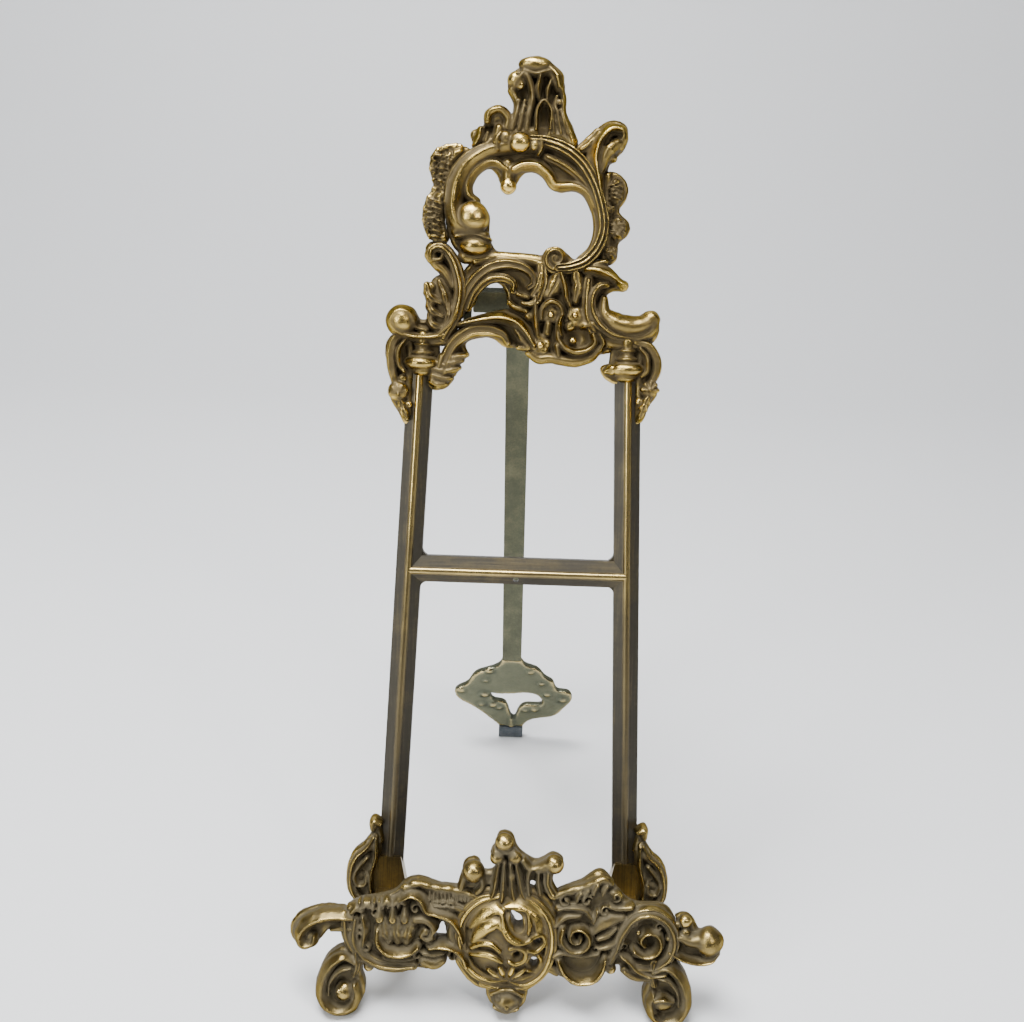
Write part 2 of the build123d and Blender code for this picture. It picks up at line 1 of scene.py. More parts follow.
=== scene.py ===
"""Looks of the cast-brass photo album stand: sculpted castings, patina, painted shade and painted
highlights, floor, light and camera.

Each ornament is modelled as a casting is: a solid field over the leaning plane of the stand, joined
from scroll bands, leaves and beads, and then meshed. x runs to the right, s up the slope from the
table and depth backwards from the ledge's face, all in millimetres, as in the CAD.
"""

import math

import bpy
import numpy as np
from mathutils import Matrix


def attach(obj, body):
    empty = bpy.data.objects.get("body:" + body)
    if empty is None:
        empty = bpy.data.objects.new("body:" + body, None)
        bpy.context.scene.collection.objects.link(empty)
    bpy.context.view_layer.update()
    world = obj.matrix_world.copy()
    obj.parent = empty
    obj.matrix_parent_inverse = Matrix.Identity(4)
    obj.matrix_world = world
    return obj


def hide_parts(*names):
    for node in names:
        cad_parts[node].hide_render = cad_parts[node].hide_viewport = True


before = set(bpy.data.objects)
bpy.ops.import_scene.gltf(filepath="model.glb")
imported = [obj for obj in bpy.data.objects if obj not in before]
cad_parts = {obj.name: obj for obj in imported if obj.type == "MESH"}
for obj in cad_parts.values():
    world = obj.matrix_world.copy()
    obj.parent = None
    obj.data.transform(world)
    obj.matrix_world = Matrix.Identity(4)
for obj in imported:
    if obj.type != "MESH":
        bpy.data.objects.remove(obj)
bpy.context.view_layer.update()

import openvdb
from mathutils import Matrix, Vector

MM = 0.001
LEAN = math.radians(15.5)  # the front frame and the ledge lean back from upright
CENTRE_Y = 96.2  # from the front feet to the origin

# the sculpting grid and its fields
STEP = 0.34  # spacing of the grid
FAR = 3.0  # largest distance that a field holds
MARGIN = 3.5  # room round a CAD piece for the ornament that stands for it
REACH = 1.2  # how far past its edge a band or a ball still changes the field
THINNEST = 0.25  # half width of the narrowest band
BACK_POWER = 4.0  # how square a band is behind; each band says how square it is in front
CUT_BLEND = 0.5  # how soft the edge of a flat cut is
EVERYWHERE = ((-999, -999), (999, 999))
PAD = 2  # empty cells added round a field before it is meshed
TANGENT = 0.7  # cells to each side over which the direction of a surface is measured

# the cast surfaces
RIM_INSET = 1.3  # from a plate's outline to the middle of its raised rim
RIM_WIDTH = 0.7
WAVES = ((5, 0.2, 1), (3, 0.12, 2))  # cells, height and seed of the waviness
LEDGE_WAVES = 1.7  # how many times wavier the ledge's castings are

# how castings have worn
WEAR = ((3, 0.5), (7, 0.28))  # cells that a field is averaged over, and its share in the wear
PROUD_BY = 5  # how far in front of the plates everything counts as fully proud
SIDE_DULLING = 0.5
# the less open air is found, the darker the colour: umber patina and painted shade in the hollows
AIR_REACHES = (1.0, 2.2)  # how far off the surface the open air is looked for

# where the painted highlights, partly rubbed polish, down the beads of the bars run, as x and s
STILE_FOOT = (47.75, 46)
STILE_TOP = (40.2, 246.5)
CROSSBAR_S = 168.05

# where the castings lie: depths of their faces and backs, and how far off the middle the collars are
CREST_BACK = 34.0
CREST_FACE = 31.4
COLLAR_BACK = 35.0
COLLAR_X = 39.4
LEDGE_BACK = 4.5
LEDGE_FACE = 0.4
EAR_FACE = 30.4
EAR_BACK = 35.0
PIN = (-3.0, 14.257, 254.228)  # the hinge of the back leg, and its toe
TOE = (0.0, 97.5, 2.4)
LEG_LEAN = -math.atan2(TOE[1] - PIN[1], PIN[2] - TOE[2])
LEG_FACE = -1.7
LEG_BACK = 1.8


# ---------------------------------------------------------------- curves
def smooth_curve(points, spacing=0.6):
    """A Catmull-Rom curve through the points, as closely spaced points."""
    pts = np.array(points, dtype=float)
    if len(pts) == 1:
        return np.vstack([pts, pts + 1e-3])
    ends = np.vstack([2 * pts[0] - pts[1], pts, 2 * pts[-1] - pts[-2]])
    out = []
    for i in range(1, len(ends) - 2):
        a, b, c, d = ends[i - 1:i + 3]
        n = max(2, int(np.linalg.norm(c - b) / spacing) + 1)
        t = np.linspace(0, 1, n, endpoint=False)[:, None]
        out.append(0.5 * (2 * b + (c - a) * t + (2 * a - 5 * b + 4 * c - d) * t**2
                          + (3 * b - a - 3 * c + d) * t**3))
    out.append(pts[-1:])
    return np.vstack(out)


def spiral(cx, cs, start_radius, end_radius, start_deg, turns):
    """Points of a volute about a centre; positive turns run anticlockwise."""
    count = max(4, int(abs(turns) * 10))
    out = []
    for i in range(count + 1):
        f = i / count
        angle = math.radians(start_deg) + 2 * math.pi * turns * f
        radius = start_radius + (end_radius - start_radius) * f
        out.append((cx + radius * math.cos(angle), cs + radius * math.sin(angle)))
    return out


def along(values, t):
    """A width, height or depth that changes evenly along a curve."""
    values = np.atleast_1d(np.array(values, dtype=float))
    if len(values) == 1:
        return np.full_like(t, values[0])
    return np.interp(t, np.linspace(0, 1, len(values)), values)


# ---------------------------------------------------------------- sections of a band
# each gives what stands proud at v, from -1 to 1 across the band, and t, from 0 to 1 along it
def plain(v, t):
    return 0 * v


def channel(amount, half):
    """A hollow down the middle, with a raised lip on each side."""
    return lambda v, t: -amount * np.exp(-(v / half) ** 4)


def reeds(count, amount):
    """Rounded strands side by side."""
    return lambda v, t: amount * (np.abs(np.cos(math.pi * count * v / 2)) - 0.6)


def ridge(amount=0.25, half=0.25):
    """A raised keel down the middle."""
    return lambda v, t: amount * np.exp(-(v / half) ** 2)


def leaf(veins, amount, middle):
    """A centre groove with slanting lobes either side."""
    return lambda v, t: (amount * np.cos(2 * math.pi * veins * (t - 0.25 * np.abs(v))) * np.abs(v)
                         - middle * np.exp(-(v / 0.16) ** 2))


# ---------------------------------------------------------------- fields
def smooth_min(a, b, k):
    """The lower of two fields, rounded over where they meet."""
    h = np.maximum(k - np.abs(a - b), 0) / k
    return np.minimum(a, b) - h * h * k / 4


def blur(field, radius, passes=2):
    """Average of a field over the grid cells round each of its points."""
    out = field
    for _ in range(passes):
        for axis in range(3):
            if field.shape[axis] == 1:
                continue
            pad = [(0, 0)] * 3
            pad[axis] = (radius + 1, radius)
            total = np.cumsum(np.pad(out, pad, mode="edge"), axis=axis, dtype=np.float64)
            n = out.shape[axis]
            high = np.take(total, range(2 * radius + 1, 2 * radius + 1 + n), axis=axis)
            low = np.take(total, range(0, n), axis=axis)
            out = ((high - low) / (2 * radius + 1)).astype(np.float32)
    return out


def lumps(shape, cell, seed):
    """Smooth random unevenness, with bumps a few grid cells wide."""
    rng = np.random.RandomState(seed)
    coarse = rng.uniform(-1, 1, [n // cell + 2 for n in shape]).astype(np.float32)
    for axis in range(3):
        coarse = np.repeat(coarse, cell, axis)
    return blur(coarse[:shape[0], :shape[1], :shape[2]], (cell + 1) // 2)


def sample(field, p):
    """Trilinear values of a field at points in its own grid."""
    last = np.array(field.shape) - 1.001  # a little short of the last cell, so that each has a next
    p = np.clip(p, 0, last)
    i = p.astype(int)
    f = (p - i).astype(np.float32)
    out = 0
    for dx in (0, 1):
        for dy in (0, 1):
            for dz in (0, 1):
                w = (f[:, 0] if dx else 1 - f[:, 0]) * (f[:, 1] if dy else 1 - f[:, 1])
                w = w * (f[:, 2] if dz else 1 - f[:, 2])
                out = out + w * field[i[:, 0] + dx, i[:, 1] + dy, i[:, 2] + dz]
    return out


class Slab:
    """A grid that neighbouring castings share: x across, s up the slope, depth to the back."""

    def __init__(self, x, s, depth, origin, lean, face, level):
        self.face = face  # depth of the plates that the ornament stands on
        self.level = level  # depth at which a band lies unless it says otherwise
        self.low = np.array([x[0], s[0], depth[0]], dtype=float)
        self.count = [int((b - a) / STEP) + 1 for a, b in (x, s, depth)]
        self.union = np.full(self.count, FAR, np.float32)
        self.origin = np.array(origin, dtype=float)
        sin, cos = math.sin(lean), math.cos(lean)
        self.axes = np.array([[1, 0, 0], [0, sin, cos], [0, cos, -sin]], dtype=float)

    def place(self, p):
        """x, s and depth to X, Y and Z of the stand, in millimetres."""
        return p @ self.axes + self.origin

    def unplace(self, p):
        """X, Y and Z of the stand to x, s and depth."""
        return (p - self.origin) @ self.axes.T

    def axis(self, i, first, last):
        """Where the grid's points from first to last are along one axis."""
        return (self.low[i] + STEP * np.arange(first, last)).astype(np.float32)

    def index(self, i, value):
        """The grid's point nearest to a place along one axis."""
        return int(np.clip(round((value - self.low[i]) / STEP), 0, self.count[i]))


def vertices(node):
    """The points of a CAD piece, in millimetres."""
    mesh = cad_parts[node].data
    corners = np.empty(3 * len(mesh.vertices))
    mesh.vertices.foreach_get("co", corners)
    return corners.reshape(-1, 3) / MM


def filled(slab, nodes, xs, ss):
    """Which points of the grid the CAD pieces cover, seen square to the slab."""
    inside = np.zeros((len(xs), len(ss)), bool)
    for node in nodes:
        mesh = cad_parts[node].data
        mesh.calc_loop_triangles()
        triangles = np.empty(3 * len(mesh.loop_triangles), int)
        mesh.loop_triangles.foreach_get("vertices", triangles)
        flat = slab.unplace(vertices(node))[triangles.reshape(-1, 3)][:, :, :2]
        ab, ac = flat[:, 1] - flat[:, 0], flat[:, 2] - flat[:, 0]
        double_area = ab[:, 0] * ac[:, 1] - ab[:, 1] * ac[:, 0]
        for a, b, c in flat[double_area > 1e-4]:
            low, high = np.min([a, b, c], 0), np.max([a, b, c], 0)
            u0, u1 = np.searchsorted(xs, low[0]), np.searchsorted(xs, high[0])
            v0, v1 = np.searchsorted(ss, low[1]), np.searchsorted(ss, high[1])
            px, ps = xs[u0:u1, None], ss[None, v0:v1]
            covered = np.ones((u1 - u0, v1 - v0), bool)
            for p, q in ((a, b), (b, c), (c, a)):
                covered &= (q[0] - p[0]) * (ps - p[1]) - (q[1] - p[1]) * (px - p[0]) >= -1e-5
            inside[u0:u1, v0:v1] |= covered
    return inside


def outline_distance(inside, xs, ss):
    """Distance from the outline, negative inside it."""
    across = np.argwhere(inside[1:] != inside[:-1])
    upward = np.argwhere(inside[:, 1:] != inside[:, :-1])
    edge_x = np.concatenate([xs[across[:, 0]] + STEP / 2, xs[upward[:, 0]]])
    edge_s = np.concatenate([ss[across[:, 1]], ss[upward[:, 1]] + STEP / 2])
    distance = np.empty(inside.shape, np.float32)
    for i, x in enumerate(xs):
        gap = (edge_x[:, None] - x) ** 2 + (edge_s[:, None] - ss[None, :]) ** 2
        distance[i] = np.sqrt(gap.min(0))
    distance[inside] *= -1
    return blur(distance[..., None], 1)[..., 0]


# ---------------------------------------------------------------- castings
class Casting:
    """One ornament, in a window of the slab round the CAD pieces that it stands for."""

    def __init__(self, name, slab, nodes, body="stand", material="gilt", slot="gilt_brass",
                 bed=None, rub=0.3, fat=1.0):
        self.name, self.slab, self.nodes = name, slab, nodes
        self.body, self.material, self.slot = body, material, slot
        self.bed = bed or (lambda gx, gs: 0 * gx)  # where the depths of plates and bands count from
        self.rub = rub  # how much what stands proud is polished
        self.fat = fat  # how stout the bands are
        low, high = np.full(3, np.inf), np.full(3, -np.inf)
        for node in nodes:
            corners = slab.unplace(vertices(node))
            low = np.minimum(low, corners.min(0) - MARGIN)
            high = np.maximum(high, corners.max(0) + MARGIN)
        self.i0, self.i1 = slab.index(0, low[0]), slab.index(0, high[0])
        self.j0, self.j1 = slab.index(1, low[1]), slab.index(1, high[1])
        self.field = np.full((self.i1 - self.i0, self.j1 - self.j0, slab.count[2]), FAR, np.float32)

    def window(self, low, high):
        """The part of the field between two corners, and where its points are."""
        s = self.slab
        a0, a1 = max(s.index(0, low[0]), self.i0), min(s.index(0, high[0]), self.i1)
        b0, b1 = max(s.index(1, low[1]), self.j0), min(s.index(1, high[1]), self.j1)
        view = self.field[a0 - self.i0:a1 - self.i0, b0 - self.j0:b1 - self.j0]
        return s.axis(0, a0, a1), s.axis(1, b0, b1), s.axis(2, 0, s.count[2]), view

    def join(self, view, value, blend, cut=False):
        """Add a shape to the field, or take it away."""
        if cut:
            view[:] = -smooth_min(-view, value, blend)
        else:
            view[:] = smooth_min(view, value, blend)
        np.clip(view, -FAR, FAR, out=view)

    def band(self, points, width, rise=4, depth=None, back=3.0, section=plain, power=2.0, blend=0.5,
             cut=False):
        """A scroll, stem or leaf that follows a curve; width, rise and back are half sizes along it."""
        curve = smooth_curve(points)
        reach = np.max(width) * self.fat + REACH
        xs, ss, deep, view = self.window(curve.min(0) - reach, curve.max(0) + reach)
        if not view.size:
            return
        gx, gs = np.meshgrid(xs, ss, indexing="ij")
        grid = np.stack([gx.ravel(), gs.ravel()], 1)

        # the nearest point of the curve, which side of it the grid's point is on, and how far along
        a = curve[:-1]
        step = curve[1:] - a
        length = np.linalg.norm(step, axis=1)
        start = np.concatenate([[0], np.cumsum(length)[:-1]])
        rel = grid[:, None] - a[None]
        t = np.clip((rel * step).sum(2) / (length**2), 0, 1)
        gap = ((rel - t[..., None] * step) ** 2).sum(2)
        j = gap.argmin(1)
        row = np.arange(len(grid))
        side = np.sign(step[j, 0] * rel[row, j, 1] - step[j, 1] * rel[row, j, 0])
        t = (start[j] + t[row, j] * length[j]) / length.sum()
        w = np.maximum(along(np.array(width) * (1 if cut else self.fat), t), THINNEST)
        v = side * np.sqrt(gap[row, j]) / w
        v, t, w = (part.reshape(gx.shape)[..., None] for part in (v, t, w))

        # a superellipse across the band, rounder in front than behind
        centre = along(self.slab.level if depth is None else depth, t) + self.bed(gx, gs)[..., None]
        q = deep[None, None, :] - centre
        front = q < 0
        h = np.where(front, along(rise, t), along(back, t))
        n = np.where(front, power, BACK_POWER)
        rho = (np.abs(v) ** n + (np.abs(q) / h) ** n) ** (1 / n)
        grooves = np.where(front, section(v, t), 0)
        value = ((rho - 1 - grooves) * np.minimum(w, h)).astype(np.float32)
        self.join(view, value, blend, cut)

    def ball(self, x, s, depth, radius, blend=0.4, squash=(1, 1, 1), cut=False):
        """A bead, or with cut a round hollow."""
        reach = radius * max(squash) + REACH
        xs, ss, deep, view = self.window((x - reach, s - reach), (x + reach, s + reach))
        d = ((xs[:, None, None] - x) / squash[0]) ** 2 + ((ss[None, :, None] - s) / squash[1]) ** 2
        d = d + ((deep[None, None, :] - depth) / squash[2]) ** 2
        value = (np.sqrt(d) - radius) * min(squash)
        self.join(view, value.astype(np.float32), blend, cut)

    def ground(self, face, back, rounding=1.3, rim=0.0):
        """The plate under the ornament, with the CAD piece's outline; its rim may stand proud."""
        xs, ss, deep, view = self.window(*EVERYWHERE)
        edge = outline_distance(filled(self.slab, self.nodes, xs, ss), xs, ss)
        gx, gs = np.meshgrid(xs, ss, indexing="ij")
        raised = rim * np.exp(-(((edge + RIM_INSET) / RIM_WIDTH) ** 2))
        front = (face - raised + self.bed(gx, gs))[..., None]
        half = (back - front) / 2
        out = edge[..., None] + rounding
        over = np.abs(deep[None, None, :] - (front + half)) - half + rounding
        corner = np.hypot(np.maximum(out, 0), np.maximum(over, 0))
        value = np.minimum(np.maximum(out, over), 0) + corner - rounding
        self.join(view, value.astype(np.float32), blend=0.4)

    def pits(self, x, s, spacing, depth, seed):
        """Stippled ground, as left by a small round punch."""
        xs, ss, deep, view = self.window((x[0], s[0]), (x[1], s[1]))
        rng = np.random.RandomState(seed)
        gx, gs = np.meshgrid(xs, ss, indexing="ij")
        dent = np.zeros_like(gx)
        area = (x[1] - x[0]) * (s[1] - s[0])
        for _ in range(int(area / spacing**2)):
            cx, cs = rng.uniform(*x), rng.uniform(*s)
            dent = np.maximum(dent, np.exp(-((gx - cx) ** 2 + (gs - cs) ** 2) / (0.3 * spacing) ** 2))
        facing = np.clip(self.slab.level - deep, 0, 1)[None, None, :]  # only the front is dented
        view += (depth * dent[..., None] * facing).astype(np.float32)

    def trim(self):
        """Cut away what would be under the table."""
        _, ss, deep, view = self.window(*EVERYWHERE)
        up = self.slab.axes[:, 2]
        height = up[1] * ss[:, None] + up[2] * deep[None, :]
        view[:] = -smooth_min(-view, height[None], CUT_BLEND)

    def close(self, back=CREST_BACK):
        """The flat back, and the cast surface's slight waviness."""
        _, _, deep, view = self.window(*EVERYWHERE)
        coarse = LEDGE_WAVES if self.material == "ledge" else 1.0
        for cell, height, seed in WAVES:
            view += coarse * height * lumps(view.shape, cell, seed + self.i0)
        plane = (deep - back)[None, None, :]
        view[:] = -smooth_min(-view, -plane, CUT_BLEND)
        part = self.slab.union[self.i0:self.i1, self.j0:self.j1]
        np.minimum(part, self.field, out=part)
        return self


def worn_and_open(casting, local, normal, mm):
    """How much each point is rubbed, and from 0 to 1 how open the air in front of it is; closed-in
    points are later coloured darker, as patina and as painted shade.
    """
    slab, field = casting.slab, casting.field
    worn = sum(share * sample(blur(field, cells), local) for cells, share in WEAR)
    proud = np.clip((slab.face + casting.bed(mm[:, 0], mm[:, 1]) - mm[:, 2]) / PROUD_BY, 0, 1)
    sideways = np.clip(0.5 + normal[:, 2], 0, 1)
    # painted shade as well as patina: points closed in by this or any other casting are marked to be
    # coloured darker
    openness_for_patina_and_painted_shade = np.zeros(len(local), np.float32)
    for reach in AIR_REACHES:
        probe = local + (casting.i0, casting.j0, 0) + normal * reach / STEP
        openness_for_patina_and_painted_shade += np.clip(sample(slab.union, probe) / reach, 0, 1) / len(AIR_REACHES)
    return worn + casting.rub * proud - SIDE_DULLING * sideways, openness_for_patina_and_painted_shade


def build(casting):
    """Mesh the casting, and note on each point how worn and how open it is."""
    grid = openvdb.FloatGrid(FAR)
    grid.copyFromArray(np.pad(casting.field, PAD, constant_values=FAR))
    points, triangles, quads = grid.convertToPolygons(isovalue=0.0, adaptivity=0.0)
    local = points - PAD
    gradient = np.stack([
        sample(casting.field, local + step) - sample(casting.field, local - step)
        for step in TANGENT * np.eye(3)
    ], 1)
    normal = gradient / np.maximum(np.linalg.norm(gradient, axis=1, keepdims=True), 1e-6)
    mm = casting.slab.low + (local + (casting.i0, casting.j0, 0)) * STEP
    worn, openness_for_patina_and_painted_shade = worn_and_open(casting, local, normal, mm)
    faces = [tuple(f) for f in quads[:, ::-1].tolist()] + [tuple(f) for f in triangles[:, ::-1].tolist()]
    mesh = bpy.data.meshes.new(casting.name)
    mesh.from_pydata((casting.slab.place(mm) * MM).tolist(), [], faces)
    mesh.polygons.foreach_set("use_smooth", [True] * len(mesh.polygons))
    for key, values in (("worn", worn), ("openness_for_patina_and_painted_shade", openness_for_patina_and_painted_shade)):
        layer = mesh.attributes.new(key, "FLOAT", "POINT")
        layer.data.foreach_set("value", values.astype(np.float32))
    obj = bpy.data.objects.new(casting.name, mesh)
    bpy.context.scene.collection.objects.link(obj)
    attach(obj, casting.body)
    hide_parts(*casting.nodes)
    mesh.materials.append(materials[casting.material])


# ---------------------------------------------------------------- materials
class Tree:
    """The nodes of one material or world, with short calls for what several of them use."""

    def __init__(self, owner):
        owner.use_nodes = True
        self.nodes = owner.node_tree.nodes
        self.link = owner.node_tree.links.new
        self.shader = self.nodes.get("Principled BSDF")

    def add(self, kind, sockets=(), **settings):
        """A node; its sockets take numbers, or what other nodes give."""
        node = self.nodes.new("ShaderNode" + kind)
        for name, value in settings.items():
            setattr(node, name, value)
        for socket, value in dict(sockets).items():
            if isinstance(value, bpy.types.NodeSocket):
                self.link(value, node.inputs[socket])
            else:
                node.inputs[socket].default_value = value
        return node

    def place(self):
        """Each point's X, Y and Z, in metres."""
        return self.add("TexCoord").outputs["Object"]

    def noise(self, scale, detail, roughness, seed, place=None):
        """Solid noise; each seed gives another pattern."""
        sockets = {"W": seed, "Scale": scale, "Detail": detail, "Roughness": roughness,
                   "Vector": place or self.place()}
        return self.add("TexNoise", sockets, noise_dimensions="4D").outputs["Fac"]

    def maths(self, operation, *values):
        """What an operation gives for numbers or signals."""
        return self.add("Math", enumerate(values), operation=operation).outputs[0]

    def total(self, offset, *terms):
        """Each signal times its share, added up, and the offset."""
        level = self.maths("MULTIPLY", *terms[0])
        for signal, share in terms[1:]:
            level = self.maths("ADD", level, self.maths("MULTIPLY", signal, share))
        return self.maths("ADD", level, offset)

    def attribute(self, name):
        """What build() noted on the points of a casting."""
        return self.add("Attribute", attribute_name=name).outputs["Fac"]

    def slope(self):
        """Each point's X, and its way up the slope of the frame, both in metres."""
        place = self.add("SeparateXYZ", {"Vector": self.place()}).outputs
        along_y = self.maths("MULTIPLY", self.maths("ADD", place["Y"], CENTRE_Y * MM), math.sin(LEAN))
        along_z = self.maths("MULTIPLY", place["Z"], math.cos(LEAN))
        return place["X"], self.maths("ADD", along_y, along_z)

    def ramp(self, level, stops):
        """Colours or plain values at stops along a level."""
        node = self.add("ValToRGB", {"Fac": level})
        elements = node.color_ramp.elements
        while len(elements) < len(stops):
            elements.new(0.5)
        for element, (position, value) in zip(elements, stops):
            element.position = position
            element.color = (*value, 1) if isinstance(value, tuple) else (value, value, value, 1)
        return node.outputs["Color"]

    def finish(self, level, colors, roughness, metallic):
        """Colour, gloss and metal, all read from one level of wear."""
        looks = {"Base Color": colors, "Roughness": roughness, "Metallic": metallic}
        for socket, stops in looks.items():
            self.link(self.ramp(level, stops), self.shader.inputs[socket])

    def bump(self, height, strength, distance):
        """Fine unevenness of the surface."""
        sockets = {"Height": height, "Strength": strength, "Distance": distance}
        self.link(self.add("Bump", sockets).outputs["Normal"], self.shader.inputs["Normal"])


def new_material(name):
    """A material and its nodes."""
    mat = bpy.data.materials.new(name)
    return mat, Tree(mat)


def cast_brass(name, hollow, ground, proud, polished, dull=0.0):
    """Aged cast brass: rubbed bright on what stands proud, olive brown below, and umber in the hollows,
    there partly patina and partly painted shade.
    """
    mat, tree = new_material(name)
    blotch = tree.noise(160, 5.0, 0.65, 0.0)
    fine = tree.noise(700, 4.0, 0.7, 2.0)
    grain = tree.noise(1500, 3.0, 0.6, 4.0)
    # hollows with little open air in front are painted darker: partly patina, partly shade painted
    # between folds and castings
    level = tree.total(
        -0.84 - 0.15 * dull,
        (tree.attribute("worn"), 1.1),
        (tree.attribute("openness_for_patina_and_painted_shade"), 0.85),
        (blotch, 0.45),
        (fine, 0.22 + 0.3 * dull),
    )
    tree.finish(
        level,
        colors=[(0.0, hollow), (0.32, ground), (0.66, proud), (1.0, polished)],
        roughness=[(0.0, 0.55), (0.35, 0.36 + 0.12 * dull), (0.7, 0.25 + 0.16 * dull),
                   (1.0, 0.2 + 0.14 * dull)],
        metallic=[(0.0, 0.25), (0.3, 0.65 - 0.2 * dull), (0.6, 1.0 - 0.25 * dull),
                  (1.0, 1.0 - 0.1 * dull)],
    )
    tree.bump(tree.total(0.0, (fine, 1.6), (grain, 1.0)), 0.3, 0.0003)
    tree.shader.inputs["Specular Tint"].default_value = (0.36, 0.33, 0.27, 1)
    tree.shader.inputs["Specular IOR Level"].default_value = 0.3
    return mat


def painted_bead_highlight_and_rub(tree, bead):
    """The painted highlight, partly rubbed polish, down the bead in the middle of a bar at each point,
    painted brighter higher up the bar.
    """
    x, s = tree.slope()
    if bead == "crossbar":
        away = tree.maths("SUBTRACT", s, CROSSBAR_S * MM)
    else:
        run = (STILE_FOOT[0] - STILE_TOP[0]) / (STILE_TOP[1] - STILE_FOOT[1])
        middle = tree.maths("MULTIPLY_ADD", s, -run, (STILE_TOP[0] + STILE_TOP[1] * run) * MM)
        away = tree.maths("SUBTRACT", tree.maths("ABSOLUTE", x), middle)
    # painted highlight, partly rubbed polish, in a narrow band about the bead's line
    near = {"Value": tree.maths("ABSOLUTE", away), "From Min": 1.9 * MM, "From Max": 0.8 * MM}
    rubbed = tree.add("MapRange", near, interpolation_type="SMOOTHSTEP")
    # the painted highlight is made stronger towards the top of the bar
    upward = {"Value": s, "From Min": 60 * MM, "From Max": 235 * MM, "To Min": 0.08, "To Max": 0.5}
    fade = tree.add("MapRange", upward)
    return tree.maths("MULTIPLY", rubbed.outputs["Result"], fade.outputs["Result"])


def bar_bronze(name, bead=None, lift=0.0):
    """Drawn brass bar gone bronze brown, streaked lengthways, with a painted highlight, partly rubbed
    polish, down the bead on some.
    """
    mat, tree = new_material(name)
    blotch = tree.noise(60, 4.0, 0.6, 7.0)
    fine = tree.noise(900, 3.0, 0.7, 8.0)
    stretch = (0.04, 0.8, 0.8) if bead == "crossbar" else (1, 0.06, 0.03)
    stretched = tree.add("Mapping", {"Vector": tree.place(), "Scale": stretch}).outputs["Vector"]
    streaks = tree.noise(1100, 3.0, 0.6, 9.0, stretched)
    level = tree.total(lift, (blotch, 0.3), (streaks, 0.24), (fine, 0.1))
    # a painted highlight, partly rubbed polish, along the bead
    if bead:
        level = tree.maths("ADD", level, painted_bead_highlight_and_rub(tree, bead))
    tree.finish(
        level,
        colors=[(0.12, (0.03, 0.027, 0.022)), (0.32, (0.056, 0.05, 0.038)), (0.6, (0.2, 0.155, 0.075)),
                (0.85, (0.8, 0.585, 0.2))],
        roughness=[(0.1, 0.6), (0.35, 0.45), (0.6, 0.3), (0.9, 0.22)],
        metallic=[(0.0, 0.5), (0.3, 0.85), (0.5, 1.0), (1.0, 1.0)],
    )
    tree.bump(streaks, 0.25, 0.0003)
    return mat


def raw_brass(name):
    """Unpolished greenish-grey brass, mottled and a little scratched."""
    mat, tree = new_material(name)
    mottle = tree.noise(90, 6.0, 0.65, 11.0)
    speck = tree.noise(1200, 2.0, 0.7, 12.0)
    scratch = tree.noise(500, 4.0, 0.8, 13.0)
    tree.finish(
        tree.total(0.0, (mottle, 0.7), (speck, 0.3)),
        colors=[(0.25, (0.05, 0.051, 0.032)), (0.5, (0.098, 0.1, 0.062)), (0.75, (0.19, 0.18, 0.105)),
                (1.0, (0.3, 0.27, 0.145))],
        roughness=[(0.3, 0.58), (0.55, 0.46), (0.8, 0.38), (1.0, 0.36)],
        metallic=[(0.2, 0.55), (0.5, 0.8), (0.8, 0.95), (1.0, 1.0)],
    )
    tree.bump(scratch, 0.18, 0.0003)
    return mat


def toe_paint(name):
    """Dark blue-grey dip on the toe, worn through here and there."""
    mat, tree = new_material(name)
    mottle = tree.noise(300, 5.0, 0.7, 15.0)
    tree.finish(
        mottle,
        colors=[(0.3, (0.02, 0.026, 0.034)), (0.5, (0.045, 0.055, 0.066)), (0.62, (0.075, 0.085, 0.092)),
                (0.75, (0.16, 0.15, 0.12))],
        roughness=[(0.3, 0.5), (0.5, 0.42), (0.65, 0.5), (0.8, 0.6)],
        metallic=[(0.3, 0.1), (0.6, 0.15), (0.7, 0.4), (0.8, 0.7)],
    )
    tree.bump(mottle, 0.3, 0.0003)
    return mat


def turned_brass(name):
    """Plain yellow brass of the screws and the pin, with fine marks."""
    mat, tree = new_material(name)
    marks = tree.noise(2200, 2.0, 0.5, 17.0)
    tree.finish(
        tree.noise(350, 4.0, 0.6, 18.0),
        colors=[(0.3, (0.16, 0.11, 0.045)), (0.5, (0.42, 0.32, 0.13)), (0.65, (0.6, 0.46, 0.2)),
                (0.8, (0.68, 0.53, 0.25))],
        roughness=[(0.3, 0.5), (0.5, 0.34), (0.65, 0.27), (0.8, 0.25)],
        metallic=[(0.2, 0.9), (0.5, 1.0), (0.7, 1.0), (0.9, 1.0)],
    )
    tree.bump(marks, 0.15, 0.0002)
    return mat


